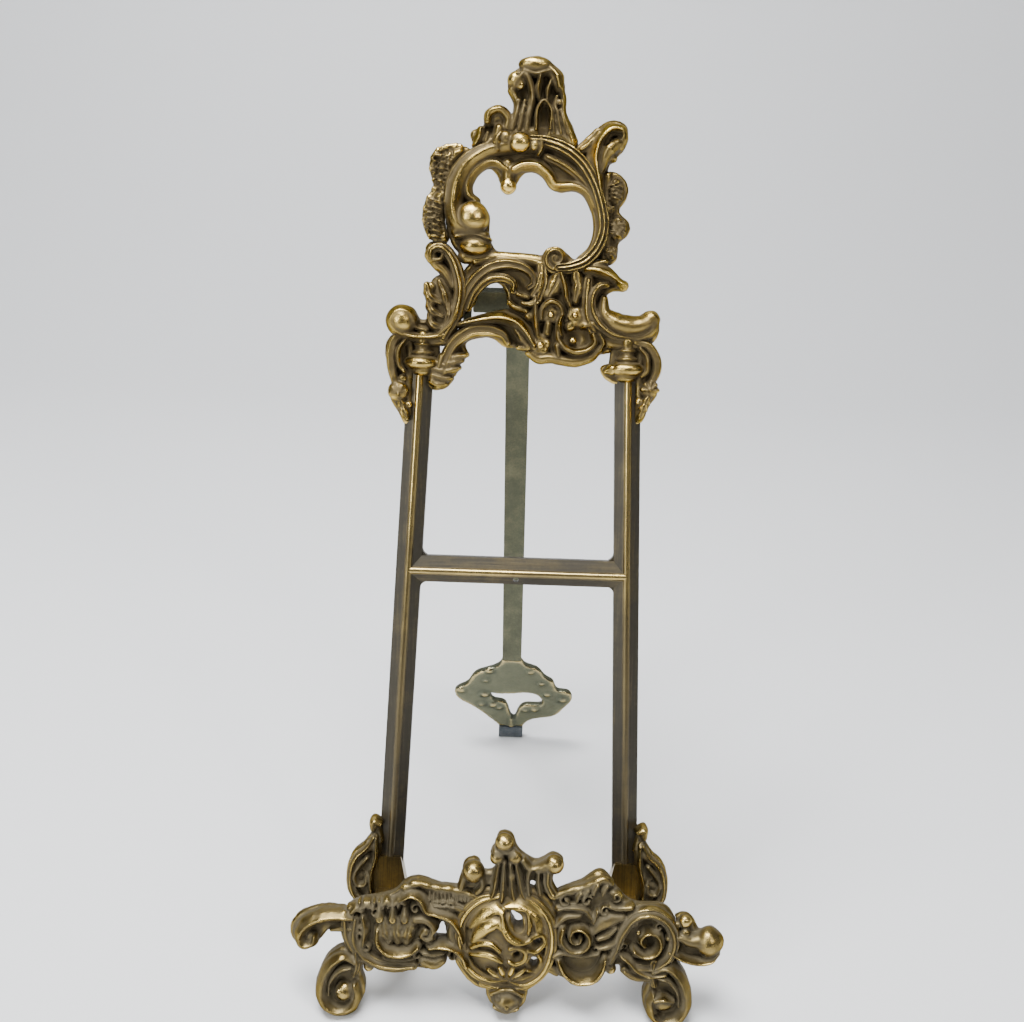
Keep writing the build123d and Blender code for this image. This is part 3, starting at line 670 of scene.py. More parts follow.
materials = {
    "gilt": cast_brass("gilt_brass", hollow=(0.095, 0.072, 0.036), ground=(0.122, 0.09, 0.039),
                       proud=(0.27, 0.19, 0.057), polished=(0.76, 0.545, 0.165)),
    "ledge": cast_brass("ledge_brass", hollow=(0.105, 0.087, 0.052), ground=(0.116, 0.092, 0.046),
                        proud=(0.2, 0.146, 0.052), polished=(0.58, 0.425, 0.145), dull=0.1),
    "boss": cast_brass("boss_brass", hollow=(0.11, 0.086, 0.045), ground=(0.152, 0.113, 0.046),
                       proud=(0.28, 0.2, 0.058), polished=(0.72, 0.515, 0.15)),
    "leg": cast_brass("leg_brass", hollow=(0.055, 0.06, 0.045), ground=(0.098, 0.105, 0.074),
                      proud=(0.16, 0.162, 0.108), polished=(0.55, 0.44, 0.2)),
    "stile": bar_bronze("stile_bronze", "stile"),
    "crossbar": bar_bronze("crossbar_bronze", "crossbar", 0.02),
    "bronze": bar_bronze("plain_bronze", None, 0.3),
    "raw": raw_brass("raw_brass"),
    "toe": toe_paint("toe_paint"),
    "turned": turned_brass("turned_brass"),
}

cad_finish = {
    "stile": ("left_stile", "right_stile"),
    "crossbar": ("crossbar",),
    "bronze": ("left_base_socket", "right_base_socket", "left_arm", "right_arm"),
    "raw": ("leg_bar", "leg_crosshead", "hinge_bracket"),
    "toe": ("leg_toe",),
    "turned": ("ledge_screws", "hinge_pin"),
}
for finish, nodes in cad_finish.items():
    for node in nodes:
        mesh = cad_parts[node].data
        mesh.materials.clear()
        mesh.materials.append(materials[finish])


# ---------------------------------------------------------------- crest
crest = Slab((-58, 58), (218, 368), (19, 36), (0, -CENTRE_Y, 0), LEAN, CREST_FACE, level=31)


def crest_ring():
    c = Casting("crest_ring_cast", crest, ["crest_ring"])
    c.ground(31.6, CREST_BACK, rim=0.5)
    # outer C-scroll on the left, from the top bead down to the ball
    c.band([(2, 332.5), (-8, 332), (-17, 329.5), (-24, 324.5), (-28, 317), (-29, 309), (-27.5, 303),
            (-24, 300)], (3, 3.2, 3.4, 3.6, 3.8, 3.6, 3), (4, 4.8, 5.4, 6, 6.2),
           section=ridge(0.08, 0.3))
    c.band([(-6, 334.6), (-16, 332.4), (-25, 327.4), (-30.6, 319.6), (-32.2, 310)],
           (0.8, 1.1, 1.2, 1.2, 0.9), 4.4, blend=0.2)
    # inner moulding round the opening
    c.band([(-9, 323), (-13, 325.5), (-17, 325.3), (-21.5, 322), (-24, 317), (-23.2, 313),
            (-20.5, 311)], (1.6, 2, 2.2, 2.2, 1.8), 3.2, depth=31.5, section=ridge(0.3, 0.3))
    c.band([(-9, 325), (-8.6, 319.5), (-8.4, 317)], (2.4, 2.3, 2.7), 3, depth=31.5)
    c.ball(-8.4, 317, 30.5, 3.1)
    c.band([(-7, 323), (-3, 325), (2, 325), (6, 322.5), (9, 318.5), (11.5, 317.8), (17, 317.8),
            (21.5, 315.5), (24.5, 310)], (2.2, 2.6, 2.6, 2.4, 2.2, 2, 1.9, 1.8, 1.6), 3.2, depth=31.5,
           section=ridge(0.3, 0.3))
    # three reeds of the right band
    c.band([(-2, 334), (6, 333.5), (14, 330.5), (20, 325.5), (24.5, 318), (27.5, 309), (28.3, 302),
            (26.5, 295.5), (22, 290), (16, 287.5), (11.5, 287)],
           (2.2, 2.4, 2.6, 2.6, 2.4, 2.4, 2.4, 2.6, 2.4, 1.8), (4.2, 4.8, 5.2, 5.4, 5),
           section=reeds(3, 0.42))
    c.band([(6, 328), (12, 325.5), (18, 321.5), (23, 315), (26, 307), (26.3, 300), (24, 294),
            (20, 290.5)], (1.5, 1.8, 2, 2, 2, 1.8, 1.5), 3.4, depth=31.5, section=reeds(2, 0.25))
    # volute
    c.band([(21, 288.5), (16.5, 286.8)] + spiral(10.6, 290.6, 4.4, 1, -70, -1.45),
           (2, 1.9, 1.8, 1.6, 1.4, 1.2, 1), (3.6, 3.6, 3.8, 4.2), section=reeds(2, 0.25), blend=0.25)
    c.band(spiral(10.6, 290.6, 2.2, 0.1, 0, 1), 2.6, 2.2, depth=31.5)
    c.ball(10.6, 290.6, 28.5, 1.3)
    # lower bar
    c.band([(-24, 290.5), (-14, 290.2), (-4, 290), (6, 289), (12, 287)], (3, 2.6, 2.4, 2.6, 2.6), 2.6,
           depth=31.5)
    # ball terminal and the bud under it
    c.band([(-29.5, 312), (-29, 306), (-26, 301.5), (-22, 300)], (2.4, 3, 3.4, 3), (5, 6, 6))
    c.ball(-21.6, 304.5, 28.8, 6.4, squash=(1, 1, 0.95))
    c.band([(-28, 299.5), (-21, 298.5), (-16.5, 298.5)], (2, 2.4, 1.6), 4.6)
    c.ball(-20.2, 294.2, 30, 1, squash=(6.2, 3.9, 5.4), blend=0.3)
    c.band([(-27.6, 297.4), (-21, 298.4), (-14.6, 296.8)], (1, 1.1, 0.8), 5.4, blend=0.2)
    # bead group on top
    c.ball(-4.6, 332.8, 27.8, 3.9, squash=(1.15, 1, 1), blend=0.25)
    c.ball(1.2, 332, 28, 2.2, blend=0.25)
    c.ball(-10, 334.2, 28.2, 2.9, blend=0.25)
    c.band([(-11.6, 336), (-13.2, 333.4), (-12.6, 330)], (1.3, 2, 1.3), (5, 6, 5), depth=30.5,
           blend=0.25)
    c.band([(3.4, 334.4), (3.8, 331), (2.6, 328.6)], (0.8, 1.1, 0.8), 5, blend=0.2)
    c.band([(-15.5, 333.4), (-16.8, 331.4)], 1.6, 4.2, depth=30.5)
    return c.close()


def crest_finial():
    c = Casting("crest_finial_cast", crest, ["crest_finial"])
    c.ground(CREST_FACE, CREST_BACK, rim=0.4)
    c.band([(-17, 333), (-8, 336), (2, 336.6), (10, 335.6), (15, 333)], (2.2, 2.6, 2.6, 2.6, 2.2), 3.8)
    for base, top in ((-7.6, -5.2), (-4.9, -3.2), (-2.2, -1.4)):
        c.band([(base, 337.5), ((base + top) / 2, 342), (top, 348)], (1.5, 1.6, 0.7), (4.6, 5.6, 4.6),
               blend=0.2)
    for base, top in ((8.2, 7.2), (10.8, 8.9), (13.2, 10.2)):
        c.band([(base, 336.5), ((base + top) / 2, 340.5), (top, 345)], (1.4, 1.5, 0.7), (4.2, 5, 4),
               blend=0.2, section=reeds(2, 0.25))
    c.band([(1.4, 337.5), (1.6, 344.5), (4.1, 348.2), (6.8, 344.5), (6.6, 338)], 0.95, 5.6, blend=0.2)
    c.band([(4.1, 337), (4.2, 345.5)], (2, 1.6), 3.2, depth=27.5, back=3, cut=True, blend=0.3)
    c.band([(-7, 353), (-4, 357.6), (-1.4, 354.5), (-0.4, 349), (-1.2, 342)], (1.6, 1.5, 1.4, 1.3, 1),
           (5, 5.6, 5.4, 5), blend=0.25)
    c.ball(-6.5, 355.4, 29.2, 3.5)
    c.ball(-5.2, 353.6, 27.6, 1.9, blend=0.2)
    c.ball(-5.8, 357.2, 26.2, 0.9, cut=True, blend=0.2)
    c.ball(0.4, 361, 28.8, 3.2, squash=(2, 1, 1.25))
    c.band([(-4, 358.8), (0.8, 357.6), (5.6, 358.8)], (0.8, 0.9, 0.8), 4.6, depth=30)
    c.band([(6.2, 359.6), (8.4, 357.2), (9.6, 353.2)], (2.2, 2.7, 1.7), (5, 6.4, 4.6),
           section=reeds(2, 0.2))
    c.band([(9.4, 355.5), (11.2, 350), (11.4, 344), (13.5, 338.5), (15.2, 334)],
           (1.4, 1.2, 1.4, 2, 2.2), 3.8, section=ridge(0.25, 0.3))
    c.band([(-8.2, 352), (-6.2, 347.5), (-6.8, 342), (-9.5, 338.2)], (1.6, 1.4, 1.4, 1.8), 4)
    c.ball(6.9, 350.6, 27.6, 2.1, squash=(0.9, 1.6, 1.2), cut=True, blend=0.5)
    c.ball(3.4, 354.6, 26.8, 1.7, squash=(1.2, 1, 1.2), cut=True, blend=0.6)
    c.band([(2.4, 357), (1.6, 352), (2.2, 348.6)], (0.9, 1.5, 0.7), (4.6, 5.4, 4.6),
           section=ridge(0.25, 0.35), blend=0.25)
    c.band([(6.4, 355.6), (5.2, 352), (5.2, 348.4)], (0.7, 1.1, 0.6), (4.2, 4.8, 4), blend=0.25)
    c.band([(8.8, 350), (8.2, 346.6), (9.4, 343.6)], (0.8, 1.2, 0.7), 4.4, blend=0.25)
    c.ball(9.8, 347.8, 27.6, 1.2, blend=0.3)
    c.ball(-3.2, 345.6, 27, 0.9, blend=0.3)
    # curled ball, and the bud beside it
    c.band([(-9.4, 338), (-9.2, 341.5), (-12.2, 344.4), (-16.2, 343), (-16.8, 339.8)],
           (2, 2, 2, 2, 1.6), (4, 5, 5.4, 5), depth=30.5)
    c.ball(-13.4, 341, 30, 2.7)
    c.ball(-12.8, 339.4, 27, 1.5, cut=True, blend=0.3)
    c.band([(-12.5, 337.5), (-13.2, 333)], (2.3, 2.6), (4.6, 5.4), depth=30.5)
    c.band([(-19.3, 337.2), (-19.8, 334.5), (-21.2, 331.6)], (1.6, 2, 1.6), (4.6, 4.2, 3.4),
           section=ridge())
    c.band([(-16.6, 336), (-17.2, 333)], (0.9, 1.3), 4.4)
    return c.close()


def crest_leaf():
    c = Casting("crest_leaf_cast", crest, ["crest_leaf"])
    c.ground(31.2, CREST_BACK, rim=0.6)
    c.band([(27.6, 311), (25.6, 320), (24.2, 328), (25.6, 334.3), (29.4, 338.4), (33.4, 338.4)],
           (1.4, 2, 2.6, 3, 2.8, 2.2), (4, 4.8, 5.4, 5.8, 5.6), section=ridge(0.3, 0.28))
    c.band([(18.5, 331.2), (22, 333.6), (25, 337.2)], (2, 2.6, 2.2), (3, 3.8, 4), section=reeds(2, 0.2))
    c.band([(21, 324), (22.4, 330)], (1.2, 1.8), 3.6)
    c.band([(26.6, 323.5), (27.4, 328), (29.2, 331.4), (32, 333.6)], (1.3, 2.3, 3.3, 2.4),
           (4, 6, 7, 5.6), depth=30.5, blend=0.2)
    c.band([(28.4, 328), (31, 328.4)], (1.8, 1.6), 4)
    c.band([(33.6, 338.6), (34.2, 335.6), (33.4, 332.5)], (2, 2.2, 1.6), (5.4, 5, 4))
    c.band([(27.6, 332.8), (30, 336.2), (33, 336.6)], (0.9, 1.2, 0.8), 3, depth=26.3, back=2, cut=True,
           blend=0.3)
    return c.close()


def left_rocaille():
    c = Casting("left_rocaille_cast", crest, ["left_rocaille"])
    c.ground(31.2, CREST_BACK)
    c.band([(-27, 329), (-31.5, 326), (-33, 321.5), (-32.6, 316)], (1.6, 3.2, 3.6, 2.8), 3.2,
           depth=31.5)
    c.band([(-32.6, 314), (-35.6, 308), (-35.8, 302), (-33.6, 297)], (2.6, 3.2, 3.4, 3), 3.4,
           depth=31.5)
    rim = smooth_curve([(-27, 331), (-32, 330.6), (-36.4, 328.2), (-37.4, 322.5), (-35.8, 316.4),
                        (-38.8, 310), (-39.6, 303.5), (-37.4, 297.2)], 2.3)
    for i, (x, s) in enumerate(rim):
        c.ball(x, s, 30.8, 1.1 + 0.3 * (i % 2), blend=0.7)
    for i in range(7):
        s = 310.5 - 2.1 * i
        c.band([(-39 + 0.12 * abs(i - 3) ** 2, s), (-36, s - 0.4), (-33.6, s - 1.2)], (0.8, 0.9, 0.5),
               (3.4, 4.4, 3.8), blend=0.5)
    for i in range(5):
        s = 327.5 - 2.3 * i
        c.band([(-36.6, s), (-33.6, s - 0.5), (-31.2, s - 1.4)], (0.8, 0.9, 0.5), (3.4, 4, 3.6),
               blend=0.7)
    c.pits((-38, -29), (313, 331), 1.4, 0.8, 3)
    c.pits((-40, -32), (296, 312), 1.5, 0.7, 5)
    return c.close()


def right_rocaille():
    c = Casting("right_rocaille_cast", crest, ["right_rocaille"])
    c.ground(31.2, CREST_BACK)
    c.band([(29, 322), (29.6, 310), (30, 300), (28.8, 290)], (1.8, 1.6, 1.8, 1.6), 2.6, depth=31.8)
    knobs = ((32.6, 316.2, 2.9, 4.9), (33.8, 302.4, 3.5, 4.6), (31.6, 293.4, 2.4, 2.7),
             (30.6, 309.3, 1.6, 1.6))
    for k, (x, s, wide, tall) in enumerate(knobs):
        c.ball(x, s, 30.6, 1, squash=(wide, tall, 3.6))
        ribs = 5 if tall > 3 else 3
        for i in range(ribs):
            f = (i - (ribs - 1) / 2) / ribs
            c.band([(x - wide * 0.9, s + f * tall * 0.9), (x + 0.1 * wide, s + f * tall * 1.5),
                    (x + wide * math.sqrt(max(0.1, 1 - (1.7 * f) ** 2)) * 0.8, s + f * tall * 1.7)],
                   (0.5, 0.75, 0.5), (4, 4.8, 3.8), blend=0.15)
        c.pits((x - wide, x + wide), (s - tall, s + tall), 1.5, 0.5, 11 + k)
    return c.close()


def left_shoulder_scroll():
    c = Casting("left_shoulder_cast", crest, ["left_shoulder_scroll"])
    c.ground(CREST_FACE, CREST_BACK, rim=0.6)
    c.band([(-33, 260.6), (-28.6, 265), (-26.2, 271), (-25.4, 277.5), (-26.6, 284), (-29, 289.6),
            (-33, 293.2), (-36.6, 292.2), (-37, 289)], (2.2, 2.4, 2.5, 2.4, 2.3, 2.2, 2, 1.8, 1.6),
           (4.4, 5, 5.4, 5.6, 5.6, 5.2, 5, 4.6), section=reeds(2, 0.3))
    c.band([(-37.4, 290.4), (-34.6, 286.8), (-31.4, 284), (-28.6, 279)], (2.2, 2, 2, 1.4),
           (4, 3.4, 3.4, 3))
    c.band([(-36.4, 288.4), (-33.2, 288.8), (-32.4, 290.6)], (1.4, 1.1, 0.9), 4.6, blend=0.2)
    # fluted tuft below the curl
    c.band([(-33, 279), (-32, 272), (-33, 265)], (4.2, 4, 4.4), 2.6, depth=31.8)
    for points, width in (
        ([(-38.4, 279), (-37, 274.6), (-33, 272.4)], (1.5, 2.1, 1.1)),
        ([(-37.4, 273.6), (-36.2, 269.4), (-32, 267.4)], (1.4, 2, 1.1)),
        ([(-37, 268), (-36, 264.4), (-31.6, 262.6)], (1.3, 1.9, 1.1)),
        ([(-33.6, 280.6), (-31.4, 275.6), (-30, 270)], (1.1, 1.7, 1)),
        ([(-29.8, 273), (-29.6, 268), (-31, 263.4)], (0.9, 1.4, 1)),
    ):
        c.band(points, width, (4.2, 5.4, 4.4), section=leaf(2, 0.12, 0.2), blend=0.25)
    c.ball(-36.6, 278.6, 29.6, 1.7)
    # shoulder curl
    c.band([(-31, 260.4), (-37, 259.4), (-44, 259.6), (-49.5, 261.5), (-51.6, 265.5), (-49, 269),
            (-44.6, 268.6), (-42.6, 265.4)], (2, 1.9, 2, 2.2, 2.4, 2.4, 2.2, 1.6),
           (4, 4.4, 4.6, 5, 5.4, 5.6, 5.4, 5), section=ridge(0.2, 0.35))
    c.ball(-47.4, 265.4, 28.6, 5.5, blend=0.8)
    c.band([(-42.6, 266.6), (-42.4, 263.4), (-38, 261.8)], (1.5, 1.2, 1.2), (5.4, 4.4, 4))
    c.ball(-40.2, 264.2, 28, 1.7, cut=True, blend=0.4)
    c.band([(-38, 257.4), (-30, 258)], (1.8, 1.8), 3.2, depth=31.6)
    return c.close()


def right_shoulder_scroll():
    c = Casting("right_shoulder_cast", crest, ["right_shoulder_scroll"])
    c.ground(CREST_FACE, CREST_BACK, rim=0.6)
    c.band([(29.6, 276), (30, 270.5), (35, 266.8), (41, 266), (46, 267.4), (48.4, 269.6)],
           (1.6, 3, 4.2, 4.4, 3.8, 2.6), (4, 5.4, 6.8, 7.2, 7, 6))
    c.band([(30.4, 281.4), (27.2, 280.4), (25, 276.4), (25.4, 271), (28.6, 266), (34, 262.6),
            (41, 261.4)], (1.2, 1.5, 1.7, 1.9, 2, 2, 1.6), (4.6, 5.2, 5.6, 5.8, 5.6, 5, 3.8),
           section=reeds(2, 0.3), blend=0.25)
    c.band([(38, 261.8), (44, 261.8), (48.6, 264.6), (49.8, 268.8)], (1.8, 2, 2, 1.8),
           (3.6, 4.4, 4.8, 4.6), blend=0.8)
    c.ball(47.4, 268.8, 28.4, 3.1, blend=0.8)
    c.band([(22.6, 287), (27.5, 286.6), (32, 284.6), (35.4, 282.2), (37.4, 281)],
           (2.2, 2.8, 2.8, 1.8, 1.5), (4, 5, 5, 4.6, 4.8), section=ridge(0.25, 0.3))
    c.ball(37, 281.2, 29.4, 1.9)
    c.band([(25, 288.6), (29.4, 290)], (1.6, 1.4), 4)
    c.band([(23.4, 283), (22.8, 276), (23.6, 269), (26.5, 263.4)], (1.8, 1.8, 1.8, 2),
           (3.6, 4, 4, 3.6), section=reeds(2, 0.3))
    c.band([(28, 261), (33, 259.4), (40, 258.6), (46.5, 259.4)], (2.4, 2.2, 2, 1.8), 3.4, depth=31.6)
    return c.close()


def upper_arch():
    c = Casting("upper_arch_cast", crest, ["upper_arch"])
    c.ground(31.6, CREST_BACK, rim=0.5)
    c.band([(-25.6, 268), (-24, 275), (-20.4, 281.4), (-15, 286), (-8.6, 287.8), (-2, 286.8),
            (1.8, 284), (2.4, 280.8), (0.6, 279.2)], (1.6, 2, 2.2, 2.2, 2.2, 2.2, 2, 1.6, 1.2),
           (4, 4.8, 5.2, 5.4, 5.4, 5.4, 5.2), section=channel(0.35, 0.4), blend=0.25)
    c.band([(-22.4, 270.5), (-19.8, 277.2), (-15.2, 281.8), (-9.6, 282.8), (-5.4, 281), (-5.2, 277.8)],
           (1.2, 1.7, 1.9, 1.9, 1.6, 1.2), (3.4, 4, 4.4, 4.6, 4.8), section=reeds(2, 0.3), blend=0.2)
    c.band([(-13, 285.4), (-6, 285.2), (0, 282), (2, 276)], (1.4, 2.2, 3, 2.8), 1.6, depth=32)
    c.band([(5.4, 287.5), (5.8, 281), (4, 275)], (2.2, 2.6, 2.4), (3, 3.6, 3.4), section=reeds(3, 0.3))
    c.band([(-1.4, 273.2), (1.6, 272.8), (4.4, 273.6)], (1, 1.1, 0.9), 5.2)
    c.band([(-3.6, 276.6), (0.4, 275.6)], (1, 1.2), 4.8)
    c.band([(-6.6, 273.5), (-4.4, 271.6), (0, 270.4)], (1.2, 1.4, 1.4), 3.6)
    c.band([(-20, 288.6), (-12, 290), (-2, 289.8), (5, 288.6)], (1.8, 1.6, 1.6, 1.8), 2.8, depth=31.6)
    return c.close()


def lower_arch():
    c = Casting("lower_arch_cast", crest, ["lower_arch"])
    c.ground(31.6, CREST_BACK, rim=0.6)
    c.band([(-31.4, 246), (-30, 252.4), (-26.4, 258.4), (-20.6, 262.2), (-14.2, 262.8), (-9, 261.4),
            (-6.6, 258.2)], (2.2, 2.6, 2.6, 2.6, 2.8, 2.3, 1.2), (4, 4.6, 5.2, 5.4, 5, 4.4),
           section=channel(0.3, 0.38))
    c.band([(-25.6, 264.6), (-18.5, 266.4), (-10.5, 267.6), (-4.4, 266.4), (0, 262.6), (3.4, 257.4)],
           (1.2, 1.9, 2.4, 2.6, 2.6, 1.8), (3.8, 5.2, 5.8, 5.6, 4.8), section=ridge(0.3, 0.3),
           blend=0.25)
    c.band([(-4, 263.4), (-1, 259.4), (1.6, 256.4)], (1, 1.4, 1.2), 5.2, blend=0.2)
    c.band([(-2.4, 256.6), (3.6, 256.2)], (1.2, 1.6), 4.2)
    for i, (x, s) in enumerate(((-28.5, 246.6), (-27.4, 249.6), (-25.6, 252))):
        c.band([(x - 2.4, s - 0.4), (x + 0.6, s + 0.4), (x + 3.4, s + 1.4 - 0.2 * i)], (1.6, 1.7, 0.9),
               (4, 4.4, 3.4), blend=0.7)
    c.band([(-31.5, 259), (-29, 263.5), (-26.4, 267.5)], (1.6, 1.8, 1.4), 4.4, section=reeds(2, 0.3))
    c.band([(-32, 252), (-33, 247.5)], (1.6, 1.6), 3.8)
    return c.close()


def blossom(c, x, s, radius, petals, turn=0.0):
    """Round petals crowded about an eye, as a small cast flower has them."""
    for i in range(petals):
        angle = turn + 2 * math.pi * i / petals
        c.ball(x + 0.62 * radius * math.cos(angle), s + 0.62 * radius * math.sin(angle), 29,
               0.52 * radius, blend=0.9)
    c.ball(x, s, 27.4, 0.4 * radius, blend=0.5)


def flower_cluster():
    c = Casting("flower_cluster_cast", crest, ["flower_cluster"])
    c.ground(31.2, CREST_BACK, rim=0.4)
    # folded leaf under the volute, with its bright keel
    c.band([(12.4, 285.4), (10.8, 281), (8.6, 276.6)], (1.8, 3.6, 1.8), (3.6, 4.2, 3.6),
           section=leaf(2, 0.1, 0.2))
    c.band([(12.8, 285.2), (14.2, 280.6), (15.2, 276), (16.6, 272.8)], (1.1, 1.3, 1.3, 0.9),
           (5, 5.8, 5.8, 5))
    c.band([(18.4, 285.6), (19.4, 280.4), (18.6, 275)], (2, 2.6, 1.8), (3.4, 4, 3.6),
           section=leaf(2, 0.12, 0.2))
    c.band([(5.2, 284.4), (4.4, 280), (2.2, 276.4)], (1.4, 2.2, 1.6), (4, 4.8, 4),
           section=leaf(2, 0.12, 0.2))
    c.band([(23.4, 280.6), (22.8, 275), (23.2, 269.4), (25.4, 264.6)], (1.4, 1.9, 1.9, 1.6), 3.6,
           section=ridge())
    # the two flowers, one under an arching frond
    c.band([(5.8, 267.6), (6.2, 271.6), (9.4, 274.2), (12.8, 272.8), (14, 269.4)],
           (1.1, 1.3, 1.4, 1.3, 1), (4.6, 5.6, 6.2, 5.6, 4.6), blend=0.3)
    blossom(c, 9.4, 269.4, 3.2, 5, turn=0.4)
    blossom(c, 18.6, 269.4, 2.9, 5, turn=1)
    # stems and small leaves between them
    c.band([(3.4, 275.6), (3.6, 268.4), (4.6, 261)], (1, 1.4, 1.1), (5, 6, 5.2), blend=0.3)
    c.band([(-2, 273.4), (0.2, 273), (2.8, 273.8)], 1.2, 5.2)
    c.band([(13.4, 269), (12.6, 265), (13.6, 261.6)], (0.9, 1.5, 1.1), (5, 5.8, 5), section=ridge())
    c.band([(8.6, 265.6), (8.2, 262.4)], (1.5, 1.7), 4.6)
    c.band([(22.8, 265.6), (25.8, 266.4), (28, 264.6)], (1.3, 1.6, 1.3), (4, 4.6, 4.2))
    c.band([(28.4, 262.4), (30, 259.4), (29, 256.6)], (1.3, 1.6, 1.2), 4.2, section=ridge())
    for x, s in ((17, 265), (21.6, 266.4), (6.4, 277.4), (1.2, 268.8)):
        c.ball(x, s, 30.2, 2.2, blend=1.5)
    # lower flower and the rolled edge beneath
    blossom(c, 5.8, 257.6, 3.8, 5, turn=0.3)
    c.band([(1.8, 254.8), (5.4, 252.6), (9.6, 253), (14, 252.4), (19.6, 252), (25, 253.6),
            (28.2, 256.6)], (1.8, 2.2, 2.2, 2.3, 2.4, 2.2, 1.8), 4.6, depth=31.6)
    c.band([(12.2, 257.6), (12.8, 254.2)], (1.5, 1.3), (5.6, 5), blend=0.4)
    # hollow with a bead in it, held by a curling frond
    c.ball(19.2, 260.4, 27.6, 3.8, squash=(1, 1, 1.2), cut=True, blend=0.8)
    c.band([(12, 264.6), (12.8, 260), (15.6, 256.8), (19.6, 255.4), (24, 256.4), (26.6, 259.2),
            (25.8, 262.4)], (0.9, 1.3, 1.5, 1.6, 1.5, 1.4, 1.2), (5, 6, 6.4, 6.4, 6, 5.4), blend=0.3)
    c.ball(18.2, 259.6, 30.2, 1.6, blend=0.2)
    return c.close()


def collar(side, name):
    """Rings and a swelling ball where the crest meets the top of a stile."""
    c = Casting(name + "_cast", crest, [name], rub=0.5)
    x = side * COLLAR_X
    for edge in (x - 4, x + 4):
        c.band([(edge, 247), (edge, 257)], (3, 2.4), 1.4, depth=32.8)
    c.ball(x + side * 0.4, 249.4, 31.4, 1, squash=(7.2, 3.5, 7), blend=0.3)
    c.ball(x, 246.2, 31.4, 1, squash=(4, 2, 5), blend=0.5)
    c.ball(x, 253.4, 31.2, 1, squash=(4.4, 1.3, 5.2), blend=0.25)
    c.band([(x, 252), (x, 260)], (3.2, 2.6, 3), (4.6, 4, 4.4), depth=31.2)
    c.ball(x, 256.6, 31.2, 1, squash=(3.7, 1.1, 5), blend=0.25)
    return c.close(COLLAR_BACK)


def left_ear_drop():
    c = Casting("left_ear_drop_cast", crest, ["left_ear_drop"])
    c.ground(CREST_FACE, CREST_BACK, rim=0.4)
    c.band([(-44, 260.4), (-49.4, 258.8), (-51.4, 253), (-51, 246.6), (-49.8, 242)],
           (1.6, 2, 2, 1.9, 1.5), (4, 4.6, 4.6, 4.4, 4), section=channel(0.15, 0.4))
    c.band([(-45.8, 258.4), (-48.4, 254), (-48.2, 248.8), (-46.2, 246)], (0.9, 1.3, 1.3, 1),
           (4.6, 5.4, 5.4, 5), blend=0.3)
    c.band([(-44.8, 259), (-44, 250), (-44.8, 240), (-44.2, 230)], (1.8, 1.6, 1.8, 1.2), 2.2, depth=32)
    c.ball(-46.8, 243.4, 29.6, 1.6, blend=0.5)
    # crinkled knob, and the leaf that hangs from it
    c.ball(-48.4, 238.4, 30, 4.1, blend=0.5)
    for i in range(5):
        angle = math.radians(20 + 40 * i)
        c.band([(-48, 237.2), (-48.2 + 3.1 * math.cos(angle), 237.6 + 3.2 * math.sin(angle))],
               (0.7, 1.1), (4.6, 3.4), depth=30, blend=0.3)
    c.band([(-47.4, 234.6), (-46.2, 231.2), (-44.6, 227.8)], (1.7, 2, 0.9), (4, 4.8, 3.2),
           section=leaf(2, 0.14, 0.2))
    c.ball(-44.4, 233.2, 29.8, 1.5, blend=0.5)
    c.ball(-46.4, 251.4, 27.6, 1.1, squash=(1, 2, 1), cut=True, blend=0.3)
    return c.close()


def right_ear_drop():
    c = Casting("right_ear_drop_cast", crest, ["right_ear_drop"])
    c.ground(CREST_FACE, CREST_BACK, rim=0.4)
    c.band([(42.6, 260), (47.4, 258.4), (50.6, 253.8), (51, 249), (49.6, 245.4)],
           (1.5, 1.9, 2, 1.9, 1.5), (4, 4.8, 5, 4.8, 4.2), section=channel(0.15, 0.4))
    c.band([(44, 257.8), (46.8, 254.4), (47.2, 249.4), (45.2, 247)], (0.9, 1.3, 1.3, 1),
           (4.2, 4.8, 5, 4.6), blend=0.3)
    c.band([(45.4, 260), (44.4, 250), (44.8, 240), (44.6, 230)], (1.6, 1.5, 1.7, 1.1), 2.2, depth=32)
    c.ball(48.6, 242, 30, 3.3, blend=0.5)
    for i in range(5):
        angle = math.radians(44 * i)
        c.band([(48.6, 241.6), (48.6 + 2.9 * math.cos(angle), 241.8 + 3 * math.sin(angle))], (0.7, 1),
               (4.4, 3.4), depth=30, blend=0.3)
    c.band([(48, 238.8), (46.8, 235.6), (45.2, 230.8)], (1.8, 2, 0.9), (4, 4.6, 3.2),
           section=leaf(3, 0.14, 0.2))
    c.ball(44.8, 237.4, 29.8, 1.5, blend=0.5)
    c.ball(45.4, 252.8, 27.6, 1.1, squash=(1, 2, 1), cut=True, blend=0.3)
    return c.close()


def inner_leaves():
    """The small leaves on the inner sides of the collars."""
    left = Casting("left_inner_leaf_cast", crest, ["left_inner_leaf"])
    left.ground(31.2, CREST_BACK)
    for x, s in ((-28.6, 246.4), (-29.4, 243.8), (-31.4, 241.4)):
        left.band([(-35.4, s + 1.2), (x - 2, s), (x + 1, s + 0.2)], (1.6, 1.8, 1.1), (4, 4.2, 3.4),
                  blend=0.8)
    left.band([(-35, 250), (-31.5, 249), (-28.6, 248.6)], (1.8, 1.9, 1.4), 3.8, blend=0.8)
    right = Casting("right_inner_leaf_cast", crest, ["right_inner_leaf"])
    right.ground(31.2, CREST_BACK)
    right.band([(37, 249.6), (34, 249.2), (31.4, 248.4)], (3.4, 2.6, 1), (3.8, 4.4, 3.2),
               section=leaf(2, 0.1, 0.15))
    return [left.close(), right.close()]


# ---------------------------------------------------------------- ledge
ledge = Slab((-88, 88), (-3, 78), (-13, 7), (0, -CENTRE_Y, 0), LEAN, LEDGE_FACE, level=0)

